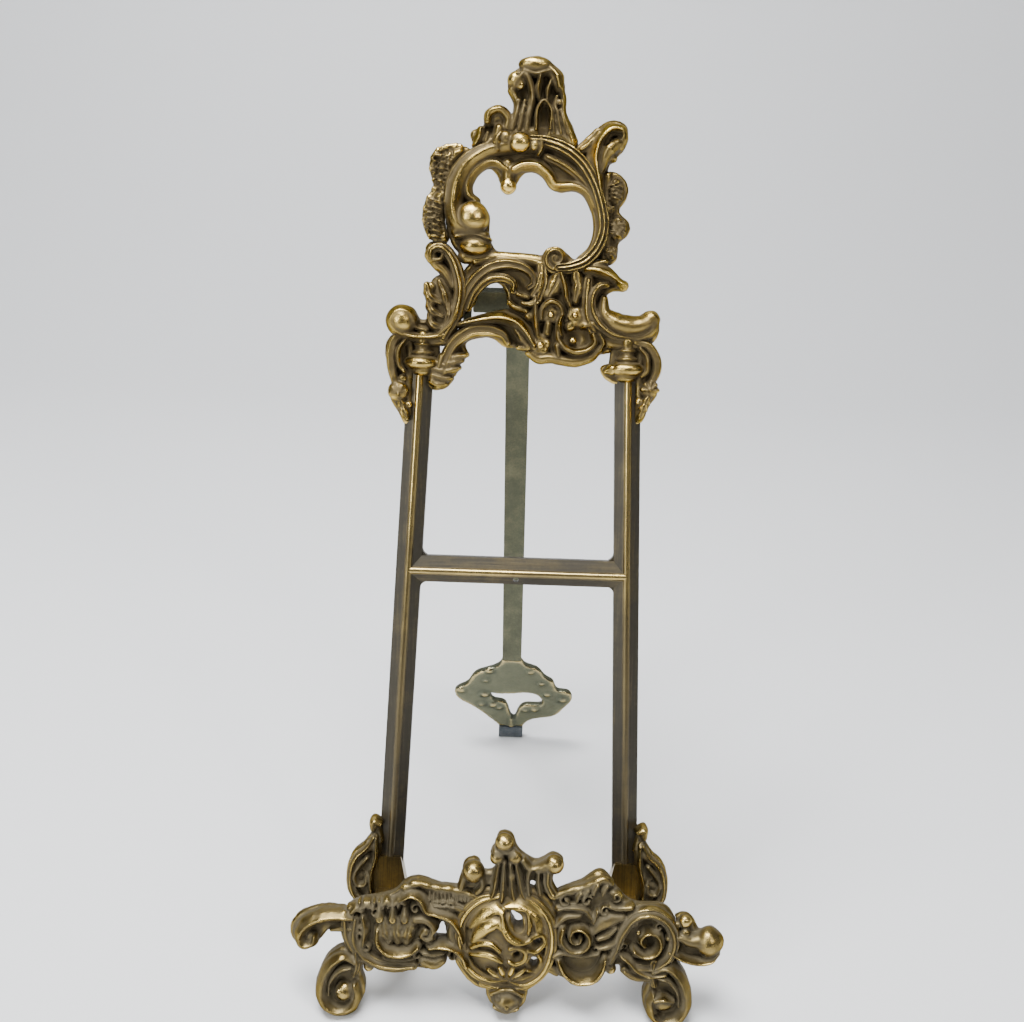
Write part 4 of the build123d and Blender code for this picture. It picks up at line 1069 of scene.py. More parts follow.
BOSS_CENTRE = (0.5, 32)
BOSS_RADIUS = 22.5
BOSS_DEPTH = 14  # of the middle of the sphere that the boss's front is part of
BOSS_EDGE = -1.5  # depth round the swelling


def dome(gx, gs):
    """Depth of the boss's swelling front."""
    height = BOSS_RADIUS**2 - (gx - BOSS_CENTRE[0]) ** 2 - (gs - BOSS_CENTRE[1]) ** 2
    return np.minimum(BOSS_DEPTH - np.sqrt(np.maximum(height, 0)), BOSS_EDGE)


def pierce(c, points, width, back=9, blend=0.5):
    """An opening right through the casting."""
    c.band(points, width, 9, back=back, power=6, cut=True, blend=blend)


def ledge_boss():
    c = Casting("ledge_boss_cast", ledge, ["ledge_boss"], material="boss", bed=dome, rub=0.4)
    c.ground(1, LEDGE_BACK, rim=0.3)
    # two C-scrolls that frame the shell
    c.band([(-3, 49), (-11, 46.5), (-16.6, 40), (-17.6, 32), (-16, 24.5), (-11.5, 18.5), (-5.5, 15.6),
            (1, 16)], (1.4, 2, 2.2, 2.2, 2.2, 2, 2, 1.4), (1.8, 2.4, 2.8, 2.6, 2.6, 2.6, 2.2),
           depth=0.4, section=reeds(2, 0.3), blend=0.4)
    c.band([(6, 49.6), (12, 46), (16.4, 40), (17.8, 32), (16.6, 24), (13, 17.4), (7, 14.2),
            (2.5, 15.4)], (1.4, 2, 2.2, 2.2, 2.2, 2, 2, 1.2), (1.8, 2.4, 2.8, 2.6, 2.6, 2.6, 2.2),
           depth=0.4, section=reeds(2, 0.3), blend=0.4)
    # smooth leaves over the upper half, and the lip under the teardrop
    c.band([(-14, 38), (-10.5, 42.5), (-5.5, 45.2), (-1.5, 44.6)], (2, 3.8, 3.6, 1.4), (1.6, 2.6, 2.4),
           depth=0.5)
    c.band([(-12.5, 32), (-8.6, 38), (-3.6, 40.6), (-0.4, 37.8)], (1.4, 2.8, 2.6, 1), (1.4, 2.4, 2),
           depth=0.5)
    c.band([(13, 37), (12.6, 42.5), (8.6, 46), (3.6, 46.6), (-0.6, 46)], (2, 3.2, 3, 2.2, 1),
           (1.8, 2.8, 2.6, 1.8), depth=0.5)
    c.band([(-1.6, 43.6), (-0.4, 38.6), (2.6, 35.2), (6.6, 34), (9.6, 34.6)],
           (0.9, 1.5, 1.7, 1.4, 0.8), (2, 2.8, 3, 2.4), depth=0.3)
    c.band([(8.4, 43.6), (9.2, 40), (8.6, 37)], (0.9, 1.2, 0.7), 2, depth=0.3)
    # small scrolls between the leaves and the flutes
    c.band([(-13, 29.6), (-9.5, 32.2), (-5.5, 32.8), (-2, 30.6)], (1.1, 1.4, 1.4, 0.9), 2.2, depth=0.3)
    c.band([(-13.4, 26.6), (-9.6, 28), (-5, 28), (-1.2, 26)], (1.2, 1.6, 1.6, 0.9), 2.4, depth=0.4)
    c.band([(1.8, 31.6), (4.6, 32.2), (7.6, 30), (7.4, 26.6), (4.4, 24.8), (1.6, 26.2)],
           (1, 1.1, 1.1, 1.1, 1.1, 0.9), 1.8, depth=0.2)
    c.band([(9, 35), (13.8, 35.4), (15.2, 31.8), (12, 29.2), (8.8, 30.4)], (0.9, 1.1, 1.1, 1.1, 0.8),
           1.8, depth=0.2)
    c.band([(12.8, 27.4), (14.2, 23.6), (12, 19.6), (9, 20.6)], (0.9, 1.2, 1.1, 0.8), 1.9, depth=0.2)
    # gadroons fan up from the drop
    for i in range(6):
        angle = math.radians(158 - 26.5 * i)
        near = (1 + 3.2 * math.cos(angle), 14 + 3.6 * math.sin(angle))
        far = (1 + 10.6 * math.cos(angle), 14 + 9.2 * math.sin(angle))
        middle = ((near[0] + far[0]) / 2, (near[1] + far[1]) / 2)
        c.band([near, middle, far], (0.9, 1.7, 1.2), (1.6, 2.2, 1.8), depth=0.4, blend=0.2,
               section=ridge(0.2))
    c.band([(-8, 13.6), (-3, 12.4), (2, 12), (7, 12.6), (10.5, 14.8)], (1.6, 1.9, 2, 1.9, 1.6),
           (2, 2.6, 2), depth=0.6, section=reeds(2, 0.3))
    # piercings
    for points, width in (([(2.4, 43.6), (4, 41.2), (4.9, 38.8)], (0.9, 1.7, 2)),
                          ([(4.4, 28.4)], 1.05), ([(12, 32.8), (12.2, 32.2)], 1.2),
                          ([(10.8, 25), (11.3, 22.4)], 1.3)):
        pierce(c, points, width, back=14)
    c.band([(-9.6, 30.4), (-6, 31), (-3.4, 29.6)], (0.6, 1, 0.6), 2.6, depth=-0.6, back=2, cut=True,
           blend=0.5)
    return c.close(LEDGE_BACK)


def ledge_finial():
    c = Casting("ledge_finial_cast", ledge, ["ledge_finial"], material="ledge", rub=0.05)
    c.ground(LEDGE_FACE, LEDGE_BACK - 0.5, rim=0.4)
    c.ball(-13, 58.4, -1, 4.3)
    c.band([(-16.4, 56.6), (-17.4, 52.4), (-18, 49)], (1.4, 1.6, 2), (3.2, 3, 2.6), depth=0.5)
    c.band([(-9.8, 56.4), (-9.4, 52.6), (-11.4, 49.6)], (1.2, 1.4, 1.6), (3, 3, 2.6), depth=0.5)
    c.ball(-13.4, 53.6, -2.2, 1.7, squash=(1.3, 0.9, 1.1), cut=True, blend=0.5)
    c.ball(-1.6, 70.2, -1.2, 3.7)
    c.band([(-5, 67), (-1.6, 66.6), (2.2, 67)], (1.1, 1.3, 1.1), 3.2)
    c.ball(-4.2, 64.4, -1.6, 2.7)
    c.ball(2.6, 64.8, -1.8, 2.7)
    c.ball(-1, 62.2, -2.6, 1.3, cut=True, blend=0.5)
    for x in (-4.6, -1.8, 1.2, 4.2):
        c.band([(x * 0.75, 62.4), (x + 0.3, 57), (x * 1.25 + 0.6, 51), (x * 1.7 + 1, 47)],
               (1, 1.3, 1.5, 1.4), (3.2, 3.6, 3.4, 2.6), section=ridge(0.25, 0.35), blend=0.25)
    c.ball(1.6, 57.6, -3.4, 1.2, blend=0.2)
    c.band([(6, 63.4), (8.6, 60.4), (12, 60.6), (16.6, 62.6)], (1.6, 1.8, 2.2, 2.6), (2.8, 3.2, 3.8),
           depth=-0.4)
    c.ball(17.6, 62.4, -1.4, 3.7)
    c.band([(15.4, 59.4), (15.4, 54.6), (17.6, 50.4)], (2, 1.8, 2), (3.4, 3, 2.6),
           section=reeds(2, 0.3))
    c.band([(8.2, 60.4), (7.8, 55.4), (8.4, 50.6)], (0.9, 0.9, 1.1), 3.6, blend=0.2)
    c.band([(11.8, 59.6), (11.8, 55), (12.6, 50.6)], (0.8, 0.9, 1.1), 3.6, blend=0.2)
    c.band([(9.8, 59.6), (9.7, 54.4)], (0.8, 0.95), 6, depth=-2.6, back=2.4, cut=True, blend=0.4)
    c.ball(9.7, 53.2, 0, 1.05, squash=(1, 1.2, 9), cut=True, blend=0.3)
    return c.close(LEDGE_BACK - 0.5)


def curls(c, places):
    """Small tendrils that fill the ground between the larger scrolls."""
    for x, s, size, turn in places:
        c.band(spiral(x, s, size, 0.3 * size, turn, 0.9), (0.2 * size, 0.32 * size, 0.26 * size),
               (2.6, 3.4, 3.4), blend=0.5)


def ledge_left_panel():
    c = Casting("ledge_left_panel_cast", ledge, ["ledge_left_panel"], material="ledge", rub=0.12,
                fat=1.3)
    c.ground(LEDGE_FACE, LEDGE_BACK, rim=0.5)
    # top rail with its scribed lines, and the leaf that runs down to the boss
    pierce(c, [(-57, 47.8), (-50, 49.2), (-44, 51), (-40.4, 54)], (2.2, 2.8, 3, 1.6))
    c.band([(-60, 42.2), (-54, 44.2), (-47, 45), (-41.4, 46.6), (-37.6, 50.4), (-33.6, 52.6),
            (-27.5, 51.2), (-19, 50.2), (-12, 48)], (0.9, 0.9, 0.9, 0.9, 0.9, 1.1, 1.1, 1.2, 1.2), 2.2,
           blend=0.8)
    for x, s in ((-38.4, 51.6), (-35.4, 53.2), (-30.6, 52.4), (-27, 51.6), (-22.4, 51.2),
                 (-18.4, 50.6)):
        c.ball(x, s - 0.6, -0.6, 1.7, squash=(1.2, 0.8, 1), blend=0.8)
    for i in range(9):
        x = -56.4 + 1.9 * i
        c.band([(x, 42.2 + 0.2 * i), (x + 0.4, 44.8 + 0.16 * i)], (0.6, 0.75), 3.6, blend=0.15)
    for i in range(11):
        x = -29.5 + 1.5 * i
        c.band([(x, 49.6 - 0.06 * i), (x + 0.3, 46.6)], (0.5, 0.55), 2.2, blend=0.5)
    c.band([(-41, 46.4), (-36.4, 49), (-32.4, 47.2), (-30.2, 43.2), (-25.6, 42), (-20.8, 40),
            (-17.8, 35.6), (-16.4, 31)], (0.9, 1.4, 1.7, 1.8, 1.9, 1.9, 1.6, 1.2),
           (3.4, 4.4, 4.6, 4.8, 4.6, 4), depth=-0.2, section=ridge(0.3, 0.35), blend=0.3)
    c.band([(-27.5, 44.8), (-21, 44.6), (-16, 43)], (1.2, 1.5, 1.3), 3.4, section=reeds(2, 0.3))
    # curl beside the triangular piercing
    c.band([(-34.6, 38.8), (-31, 39), (-27.8, 37), (-27.4, 33.6), (-29.6, 31.4), (-32, 32.8),
            (-31, 35)], (1.5, 1.6, 1.5, 1.5, 1.5, 1.2, 1), (4, 4.6, 4.6, 4.4, 4.2), depth=-0.2,
           blend=0.25)
    c.ball(-30.6, 34.6, -3.4, 1.4, blend=0.15)
    c.band([(-20.4, 37), (-20.6, 33), (-19.6, 30.6)], (1.4, 1.6, 1.3), 3.6)
    c.band([(-29, 28.2), (-25, 29), (-20.4, 28.6), (-16.6, 25.8), (-14.6, 21.4)],
           (1.2, 1.6, 1.7, 1.7, 1.2), (3.8, 4.6, 4.6, 4.2), depth=-0.2, section=ridge(0.3, 0.35))
    pierce(c, [(-25.6, 33.4), (-24.4, 34.4)], (2, 1.3), blend=0.4)
    pierce(c, [(-24.4, 35), (-24.3, 36.4)], (1.2, 0.5), blend=0.4)
    c.ball(-34, 34.4, -3.4, 1.5, cut=True, blend=0.5)
    # cartouche: a fluted bowl with two rims, and drops hanging over it
    c.band([(-57.6, 38), (-58, 30), (-55, 24.6), (-49.6, 20.8), (-42.6, 19.4), (-35, 20)],
           (1.3, 1.5, 1.6, 1.7, 1.7, 1.3), (3.4, 4, 4.2, 4.2, 3.8), section=reeds(2, 0.3))
    c.band([(-49, 34), (-48.6, 29.6), (-45.6, 26.2), (-41, 25), (-36.4, 25.8), (-33.4, 28.2)],
           (1.2, 1.5, 1.7, 1.8, 1.6, 1.2), (3.4, 4.4, 4.8, 4.6, 4), depth=-0.2,
           section=ridge(0.25, 0.4))
    for x, tip in ((-47, -44.6), (-41.6, -41.2), (-36.4, -37.8)):
        c.band([(x, 37.4), ((x + tip) / 2 - 0.3, 33), (tip, 29.4)], (2, 2.2, 1.4), (2.8, 3.8, 2.6),
               section=leaf(2, 0.12, 0.15), blend=1)
    c.band([(-46, 22.6), (-40.6, 22), (-35, 22.8)], 0.9, 2.4, section=reeds(2, 0.2), blend=0.2)
    for x in (-48.2, -43.2, -38.6):
        c.band([(x, 43.4), (x, 40.6)], (0.8, 1.3), (4, 4.8), blend=0.2)
        c.ball(x, 39.4, -3.2, 1.6, squash=(1, 1.3, 1), blend=0.2)
        c.ball(x, 39, -4.9, 0.7, cut=True, blend=0.2)
    for x, s in ((-57, 42.2), (-53, 43.8), (-45.6, 45.2), (-40.8, 46)):
        c.band([(x - 2, s - 1), (x, s + 0.4), (x + 2, s - 0.8)], (0.8, 1.4, 0.8), 4, blend=0.2)
    c.band([(-54.6, 39.6), (-53.8, 34), (-54.4, 28)], (1, 1.4, 1.1), 3.8, section=ridge(0.25))
    c.ball(-51.4, 36.6, -2.4, 1.8, squash=(0.9, 1.2, 1.1), cut=True, blend=0.5)
    c.ball(-51.6, 30.6, -2.2, 1.5, squash=(0.9, 1.4, 1.1), cut=True, blend=0.5)
    c.band([(-61.6, 38), (-61, 32), (-58.8, 26.6), (-55.6, 22)], (1.2, 1.5, 1.5, 1.2), 3.4,
           section=reeds(2, 0.3))
    curls(c, ((-54.6, 34.6, 2.5, 200), (-52.8, 27.4, 2.2, 120), (-34.6, 43.4, 2, 40),
              (-24.4, 45.6, 1.8, 160), (-33.4, 24.6, 2, 10), (-19.8, 24.6, 2, 80),
              (-21.4, 45.4, 1.7, 260), (-50, 41, 1.8, 20), (-39, 40.6, 1.8, 200)))
    # tabs and knobs under the edge
    c.band([(-31, 22), (-27, 21), (-24.4, 22.4)], (1.8, 2.2, 1.8), 3.6)
    c.ball(-52.2, 18.8, -0.8, 2.1)
    c.ball(-55.8, 20.6, -0.8, 1.7)
    c.band([(-31, 25.4), (-27.4, 25), (-24, 25.8)], 1, 3.4, blend=0.2)
    return c.close(LEDGE_BACK)


def ledge_right_panel():
    c = Casting("ledge_right_panel_cast", ledge, ["ledge_right_panel"], material="ledge", rub=0.12,
                fat=1.25)
    c.ground(LEDGE_FACE, LEDGE_BACK, rim=0.5)
    # top rail
    c.band([(18, 49), (23, 51.6), (29, 53.2), (34, 55.8), (37, 57), (39.6, 55)],
           (1.1, 1.2, 1.2, 1.2, 1.1, 1), (2.4, 2.6, 2.6, 2.4), blend=0.8)
    for x, s in ((20.6, 50.4), (24.4, 51.8), (27.6, 52.8), (31.4, 54), (34.6, 56), (37.6, 56.6),
                 (40.6, 52)):
        c.ball(x, s - 0.4, -0.6, 1.7, squash=(1.1, 0.9, 1.1), blend=0.8)
    for x, s in ((33.6, 54), (30, 51.6), (27.4, 50.6), (37.2, 53.6)):
        c.band([(x - 0.9, s - 2.4), (x, s), (x + 0.8, s + 1)], (0.7, 1.1, 0.9), 3.8, blend=0.2)
    c.ball(24.4, 48.4, -2, 1.7, squash=(1.2, 1, 1.2), cut=True, blend=0.5)
    c.ball(36.2, 48.6, -2, 1.9, squash=(1.1, 1.2, 1.2), cut=True, blend=0.5)
    c.band([(39.4, 46.6), (43, 46), (47.6, 46.4)], (1, 1.2, 1.3), 3.6)
    c.band([(19.6, 45), (25, 45.8), (30, 45), (32.6, 42)], (1.1, 1.3, 1.3, 0.9), 3.4,
           section=reeds(2, 0.3))
    # large volute
    c.band([(40.4, 24.4), (42.4, 29), (44.4, 36), (49, 42.6), (56, 44.4), (62, 40.6), (64.4, 33.6),
            (62.4, 26.6), (56.6, 22.6), (49.6, 23.2)],
           (1.1, 1.4, 1.6, 1.8, 1.8, 1.8, 1.8, 1.8, 1.7, 1.3),
           (3.4, 4.2, 4.6, 4.8, 4.8, 4.8, 4.6, 4.6, 4.4), depth=-0.2, section=reeds(2, 0.3))
    c.band(spiral(54.4, 33.6, 6.4, 2.2, 215, 1.05), (1.4, 1.6, 1.6, 1.5, 1.4, 1.3, 1.1),
           (4.6, 4.8, 4.6, 4.2), depth=-0.2, section=ridge(0.25, 0.4), blend=0.3)
    c.ball(54.8, 34.4, -2.6, 2, cut=True, blend=0.4)
    c.ball(58.8, 31.4, -3.6, 1.1, blend=0.2)
    c.ball(50.6, 37.4, -3.8, 0.9, blend=0.2)
    c.band([(44.2, 27.4), (47.4, 25.6), (50.6, 22.4), (56, 20.2), (61.6, 21)], (1, 1.4, 1.6, 1.6, 1.2),
           (3.8, 4.6, 4.6, 4), depth=-0.2, section=ridge(0.3, 0.35), blend=0.25)
    c.band([(46, 20.8), (50.4, 18.6), (56, 18.2)], (1.3, 1.6, 1.4), 3.4, section=reeds(2, 0.25))
    # middle volute and the arch over it
    c.band(spiral(27.4, 34.2, 6.6, 1.2, 150, 1.55), (1.5, 1.5, 1.5, 1.4, 1.4, 1.3, 1.2, 1.1, 0.9),
           (4.2, 4.6, 4.6, 4.2), depth=-0.2, section=ridge(0.25, 0.4), blend=0.25)
    c.band([(18.8, 38), (22.6, 41.6), (28, 42.6)], (1.1, 1.4, 1), 3.6)
    c.ball(29.2, 40.4, -2.4, 1.4, cut=True, blend=0.4)
    c.band([(33.6, 36), (36.4, 39.4), (40, 41.4), (44, 42.2)], (1.5, 2.6, 2.8, 1.6), (3, 4.2, 3.8))
    c.band([(34.6, 44.6), (33.4, 40)], (1, 1.3), 3.2, section=ridge())
    c.band([(35.4, 33.4), (38.6, 34.6), (42, 38)], (0.9, 1.3, 1), 3.4)
    c.band([(36, 29.6), (39.6, 30.4), (42.4, 33)], (0.9, 1.2, 0.9), 3.4)
    curls(c, ((22.4, 48, 2.2, 120), (30.6, 48.6, 2.3, 30), (41.6, 50.6, 2.2, 250), (37.6, 44.6, 2, 70),
              (34.6, 29, 1.9, 200), (45, 31, 1.9, 300), (50.6, 28.4, 1.8, 120), (58.4, 39.2, 2, 10),
              (21, 31, 1.7, 260), (49.6, 40.4, 1.7, 60)))
    # scoop under the middle volute
    c.band([(20.6, 24.6), (23, 19.6), (28, 16.6), (33.6, 17.2), (37, 21), (38.2, 26)],
           (1.3, 1.6, 1.9, 1.9, 1.6, 1.2), (3.8, 4.4, 4.8, 4.4), depth=-0.2, section=ridge(0.3, 0.35))
    c.ball(30, 21.8, -2.4, 2.9, squash=(1.5, 0.95, 0.9), cut=True, blend=0.8)
    c.band([(18.6, 26), (22.6, 27.4), (29, 26.4), (35.6, 27.4)], (1, 1.2, 1.2, 1), 3.6)
    c.band([(17.4, 20.6), (20, 18.8)], (1.5, 1.3), 3.2)
    c.ball(40.8, 21, -0.8, 2.1)
    c.ball(48.6, 19.6, -0.6, 1.7)
    c.ball(64.4, 38.4, -1.6, 1.8)
    return c.close(LEDGE_BACK)


def left_tip_scroll():
    c = Casting("left_tip_scroll_cast", ledge, ["left_tip_scroll"], material="ledge", rub=0.12)
    c.ground(0.2, LEDGE_BACK - 1, rim=0.3)
    c.band([(-56, 38.6), (-63, 39.4), (-70, 38.8), (-75.6, 36), (-78.6, 31.6), (-77.4, 27.8),
            (-73.8, 28.2), (-73, 31)], (1.8, 2.4, 2.8, 3, 3, 2.6, 2.2, 1.4),
           (4, 4.8, 5.2, 5.4, 5.4, 5, 4.4), depth=0.2, section=ridge(0.18, 0.3), blend=0.3)
    c.band([(-73.6, 33.6), (-69, 36.2), (-62.4, 36)], (0.8, 1, 0.8), 3.6, depth=-1.6, back=2, cut=True,
           blend=0.5)
    c.band([(-57.6, 33.6), (-62.6, 34), (-66.6, 33.2)], (1.6, 1.7, 1.1), (3.4, 3.6, 3), depth=0.4)
    c.ball(-74.6, 30.6, -1.6, 2, blend=0.2)
    for x, s in ((-58.4, 41), (-61.8, 40.6), (-65, 40.2)):
        c.ball(x, s, -2.2, 1.5, squash=(1.1, 0.8, 1), blend=0.3)
    return c.close(LEDGE_BACK - 1)


def right_tip_scroll():
    c = Casting("right_tip_scroll_cast", ledge, ["right_tip_scroll"], material="ledge", rub=0.12)
    c.ground(0.2, LEDGE_BACK - 1, rim=0.3)
    c.ball(68.4, 41, -0.6, 2.6)
    c.ball(68.8, 36.8, -1.2, 1.9)
    c.ball(65.4, 39.4, -0.6, 1.6)
    c.band([(62, 34.6), (66.6, 35), (71, 33.6), (76, 33.6), (79.6, 33.2)], (1.4, 1.8, 2.6, 3.6, 4.2),
           (3.4, 3.8, 4.4, 5, 5.2))
    c.ball(77.8, 33, -0.6, 5.9, squash=(0.92, 1, 0.95))
    c.band([(62.6, 29.4), (67.6, 27), (73.4, 25.8), (78.6, 26.6), (81.6, 29.6)],
           (1.3, 1.6, 1.7, 1.6, 1), (3.4, 4.2, 4.4, 4, 3.4), depth=-0.4, section=ridge(0.3, 0.4),
           blend=0.3)
    c.band([(65, 31.4), (70.6, 30.2), (75.6, 29)], (0.8, 1.1, 0.7), 3, depth=-2, back=2, cut=True,
           blend=0.5)
    return c.close(LEDGE_BACK - 1)


def foot(side, name):
    """A foot under one end of the ledge: a ring of scroll with a ball in its hollow."""
    c = Casting(name + "_cast", ledge, [name], material="ledge", rub=0.12)
    c.ground(-1.6, LEDGE_BACK, rim=0.3)
    ring = [(56.8, 21.4), (61.6, 23.4), (66, 20.6), (69, 15), (69.8, 8.4), (67.4, 3.4), (62.6, 1.6),
            (58, 3.6), (56.4, 8.6), (57.2, 12.4)]
    inner = [(58.6, 19.6), (62.6, 18.6), (66, 14.4), (66.8, 9)]
    c.band([(side * x, s) for x, s in ring], (1.6, 2, 2.3, 2.5, 2.6, 2.6, 2.6, 2.4, 2.2, 1.6),
           (4, 4.6, 5, 5.2, 5.2, 5, 4.8, 4.6, 4.4), depth=-1, section=ridge(0.15, 0.3))
    c.band([(side * x, s) for x, s in inner], (0.8, 1, 1, 0.7), 4.6, depth=-1.6, blend=0.2)
    c.ball(side * 62.4, 10.4, -4.6, 4.2, squash=(1, 1.35, 1), cut=True, blend=0.5)
    if side < 0:
        c.ball(-61, 9.4, -2.4, 3.9, blend=0.2)
        c.ball(-63, 10.6, -5.6, 0.8, blend=0.3)
    else:
        c.ball(61.2, 9.6, -2.4, 4.1, squash=(1.05, 0.9, 1), blend=0.2)
        c.band([(57.6, 11), (61, 11.8), (64.8, 11)], (0.8, 1, 0.8), 3.6, depth=-4, blend=0.25)
        c.band([(58.2, 4.6), (60.6, 3.4), (62.6, 5)], (0.7, 1, 0.7), 2.6, depth=-4.2, back=2, cut=True,
               blend=0.4)
    c.band([(side * 57, 25), (side * 56.6, 20.4), (side * 57.6, 16)], (1.4, 1.6, 1.2), 4, depth=-0.6,
           section=reeds(2, 0.3))
    c.close(LEDGE_BACK)
    c.trim()
    return c


def ledge_pendant():
    """The drop under the boss."""
    c = Casting("ledge_pendant_cast", ledge, ["ledge_pendant"], material="ledge", rub=0.12)
    c.ground(-0.8, LEDGE_BACK - 1, rim=0.3)
    c.ball(1.2, 7.2, -0.8, 5.2, squash=(1, 0.95, 0.9))
    c.band([(-4.4, 10.4), (-1, 12), (3.4, 12), (7, 10)], (1.2, 1.5, 1.5, 1.2), 4, depth=-0.6)
    c.ball(-2.6, 9, -4.2, 1.3, cut=True, blend=0.5)
    c.band([(-3.4, 5.4), (1, 3.6), (5.6, 5.2)], (0.8, 1.4, 0.9), 4.2, depth=-1, blend=0.3)
    c.ball(1.4, 5.6, -4.8, 1.1, blend=0.3)
    return c.close(LEDGE_BACK - 1)


# ---------------------------------------------------------------- ears beside the stile feet
base = Slab((-68, 68), (26, 70), (23, 37), (0, -CENTRE_Y, 0), LEAN, EAR_FACE, level=31)


def base_ear(side, name):
    """The scroll beside the foot of a stile."""
    c = Casting(name + "_cast", base, [name], material="ledge")
    c.ground(EAR_FACE, EAR_BACK, rim=0.6)

    def band(points, *more, **named):
        """A band of either ear, given as for the right one."""
        c.band([(side * x, s) for x, s in points], *more, **named)

    band([(52.4, 64), (54.6, 64.8), (55, 61.6)], (1.5, 1.8, 1.4), (4, 4.6, 4))
    c.ball(side * 54.6, 63.6, 29.2, 1.9)
    band([(54.4, 58.6), (57.2, 54), (61, 50.4), (63.2, 44.6), (63.2, 37.6), (60.6, 32.4),
          (56.4, 31.4)], (1.6, 2, 2, 1.9, 1.9, 1.8, 1.5), (4, 4.6, 4.6, 4.4, 4.2),
         section=reeds(2, 0.3))
    c.ball(side * 56.4, 54.6, 29.6, 2.6)
    band([(57, 49.6), (59.8, 46.4), (62, 42), (60.6, 38), (57.6, 38.6), (57.2, 41.8)],
         (1.2, 1.4, 1.3, 1.3, 1.2, 0.8), 4.4, blend=0.25)
    c.ball(side * 60.2, 41, 31.6, 2.6, blend=0.2)
    c.ball(side * 60, 42, 27.8, 1.2, cut=True, blend=0.3)
    band([(53.4, 58), (53.6, 50), (55.4, 42), (55, 34)], (1, 1.3, 1.5, 1.3), 4, section=ridge())
    c.ball(side * 56, 46.4, 28.6, 1.5, squash=(0.8, 1.3, 1), cut=True, blend=0.5)
    return c.close(EAR_BACK)


# ---------------------------------------------------------------- pierced foot of the leg
leg = Slab((-33, 34), (4, 62), (-5, 3), TOE, LEG_LEAN, LEG_FACE, level=0)


def leg_foot():
    """The rough pierced casting at the lower end of the back leg."""
    c = Casting("leg_foot_cast", leg, ["leg_foot"], "back_leg", "leg", "raw_brass", rub=0.5)
    c.ground(LEG_FACE, LEG_BACK, rounding=0.9)
    # rough knobs left along the edges and round the opening
    for x, s, radius in ((-11.6, 50.4, 1.9), (-13.4, 43, 1.6), (9, 50.4, 1.7), (15, 42, 1.7),
                         (-26, 35, 2), (-14, 32.6, 2.3), (-15.6, 24.6, 1.8), (-9.6, 24.4, 2.2),
                         (-6.4, 22.4, 1.9), (7.4, 20.6, 1.7), (12, 21.4, 1.9), (26.4, 30, 2.2),
                         (18, 33.6, 1.8)):
        c.ball(x, s, -0.9, radius, squash=(1.2, 1, 0.9), blend=1)
    c.band([(0, 13), (0.2, 8)], (1.2, 1.8), 1.4, depth=-1.1, back=2, blend=1)
    return c.close(LEG_BACK)

pieces = [
    crest_ring(), crest_finial(), crest_leaf(), left_rocaille(), right_rocaille(),
    left_shoulder_scroll(), right_shoulder_scroll(), upper_arch(), lower_arch(), flower_cluster(),
    collar(-1, "left_collar"), collar(1, "right_collar"), left_ear_drop(), right_ear_drop(),
    ledge_boss(), ledge_finial(), ledge_left_panel(), ledge_right_panel(), left_tip_scroll(),
    right_tip_scroll(), foot(-1, "left_foot"), foot(1, "right_foot"), ledge_pendant(),
    base_ear(-1, "left_base_ear"), base_ear(1, "right_base_ear"), leg_foot(),
] + inner_leaves()
for piece in pieces:
    build(piece)


# ---------------------------------------------------------------- setting
def add_object(name, data):
    """An object put in the scene."""
    obj = bpy.data.objects.new(name, data)
    bpy.context.scene.collection.objects.link(obj)
    return obj


def camera(place, down, right_turn, tilt, lens):
    """The camera at a place in millimetres, turned by angles in degrees."""
    data = bpy.data.cameras.new("camera")
    data.sensor_width = 36.0
    data.lens = lens
    pitch, yaw, roll = math.radians(down), math.radians(right_turn), math.radians(tilt)
    look = Vector((math.sin(yaw) * math.cos(pitch), math.cos(yaw) * math.cos(pitch), -math.sin(pitch)))
    right = Vector((math.cos(yaw), -math.sin(yaw), 0))
    up = right.cross(look)
    tilted_right = math.cos(roll) * right + math.sin(roll) * up
    tilted_up = -math.sin(roll) * right + math.cos(roll) * up
    turn = Matrix((tilted_right, tilted_up, -look)).transposed()
    obj = add_object("camera", data)
    obj.matrix_world = Matrix.Translation(Vector(place) * MM) @ turn.to_4x4()
    bpy.context.scene.camera = obj


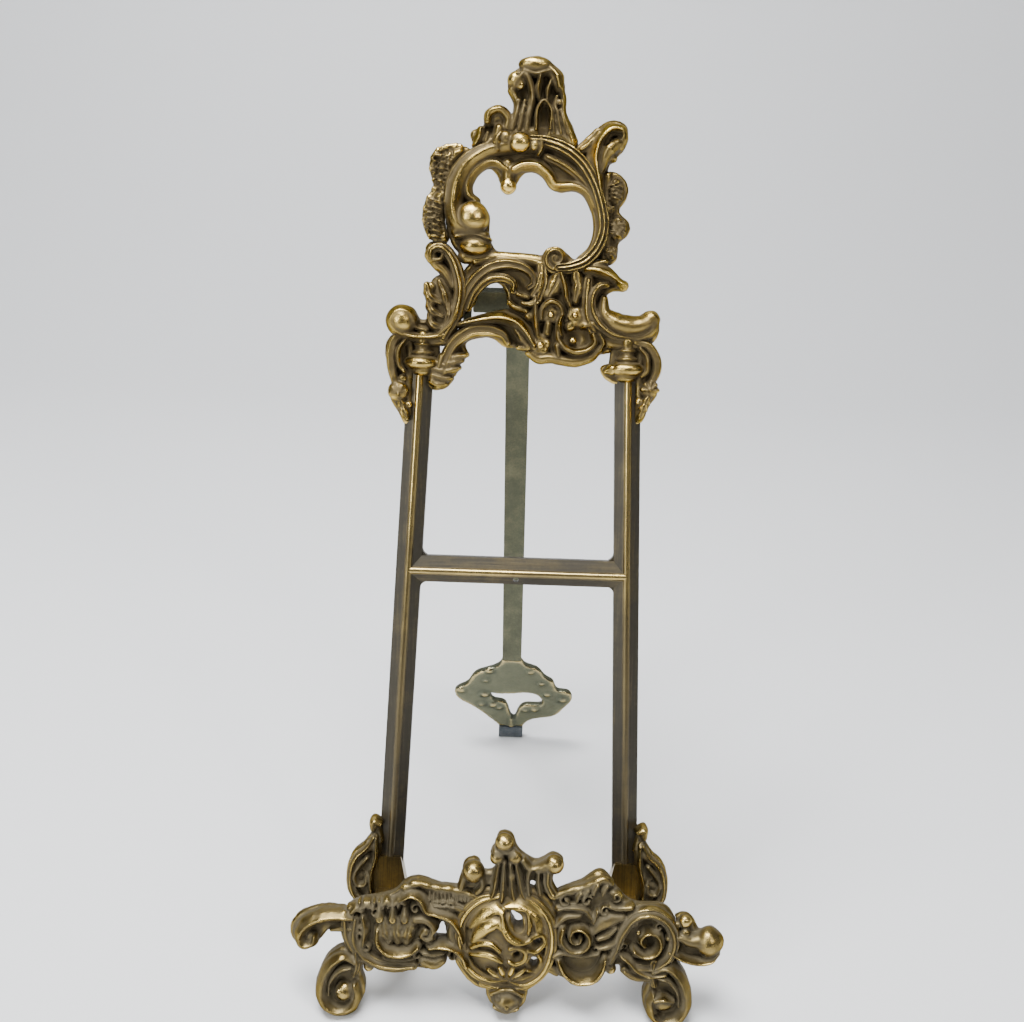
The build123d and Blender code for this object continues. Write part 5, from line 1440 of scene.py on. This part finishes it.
def sweep(side=2.5, front=-2.5, far=1.2, high=2.4, radius=0.5, steps=12):
    """The floor, which curves up behind the stand into a pale backdrop, in metres."""
    profile = [(front, 0.0), (far - radius, 0.0)]
    for i in range(1, steps + 1):
        angle = math.pi / 2 * i / steps
        profile.append((far - radius + radius * math.sin(angle), radius - radius * math.cos(angle)))
    profile.append((far, high))
    points = [(x, y, z) for y, z in profile for x in (-side, side)]
    faces = [(2 * i, 2 * i + 1, 2 * i + 3, 2 * i + 2) for i in range(len(profile) - 1)]
    mesh = bpy.data.meshes.new("sweep")
    mesh.from_pydata(points, [], faces)
    mesh.polygons.foreach_set("use_smooth", [True] * len(faces))
    add_object("sweep", mesh)
    mat, tree = new_material("sweep")
    tree.shader.inputs["Base Color"].default_value = (0.8, 0.81, 0.825, 1)
    tree.shader.inputs["Roughness"].default_value = 0.55
    mesh.materials.append(mat)


def light(name, place, size, power, target=(0, 0, 0.2), color=(1, 1, 1)):
    """A soft rectangular light that faces its target."""
    data = bpy.data.lights.new(name, "AREA")
    data.shape = "RECTANGLE"
    data.size, data.size_y = size
    data.energy = power
    data.color = color
    obj = add_object(name, data)
    obj.location = place
    obj.rotation_euler = (Vector(target) - Vector(place)).to_track_quat("-Z", "Y").to_euler()


def surroundings(low, horizon, high):
    """A plain room: dim at eye level, brighter overhead."""
    world = bpy.data.worlds.new("world")
    tree = Tree(world)
    split = tree.add("SeparateXYZ", {"Vector": tree.add("TexCoord").outputs["Generated"]})
    height = tree.maths("MULTIPLY_ADD", split.outputs["Z"], 0.5, 0.5)
    shade = tree.ramp(height, [(0.0, low), (0.48, horizon), (0.62, horizon), (1.0, high)])
    tree.link(shade, tree.nodes["Background"].inputs["Color"])
    bpy.context.scene.world = world


camera((-2.4, -358.3 - CENTRE_Y, 362.4), down=22.8, right_turn=-0.07, tilt=1.87, lens=42.715)
sweep()
light("ceiling", (-0.2, -0.2, 1.3), (0.9, 0.5), 36)
light("window", (-0.95, -1.0, 0.75), (0.32, 0.9), 13, color=(0.97, 0.99, 1.0))
light("lamp", (0.7, -0.9, 0.9), (0.15, 0.25), 4, color=(1.0, 0.95, 0.86))
surroundings((0.08, 0.08, 0.085), (0.09, 0.09, 0.095), (0.4, 0.42, 0.45))
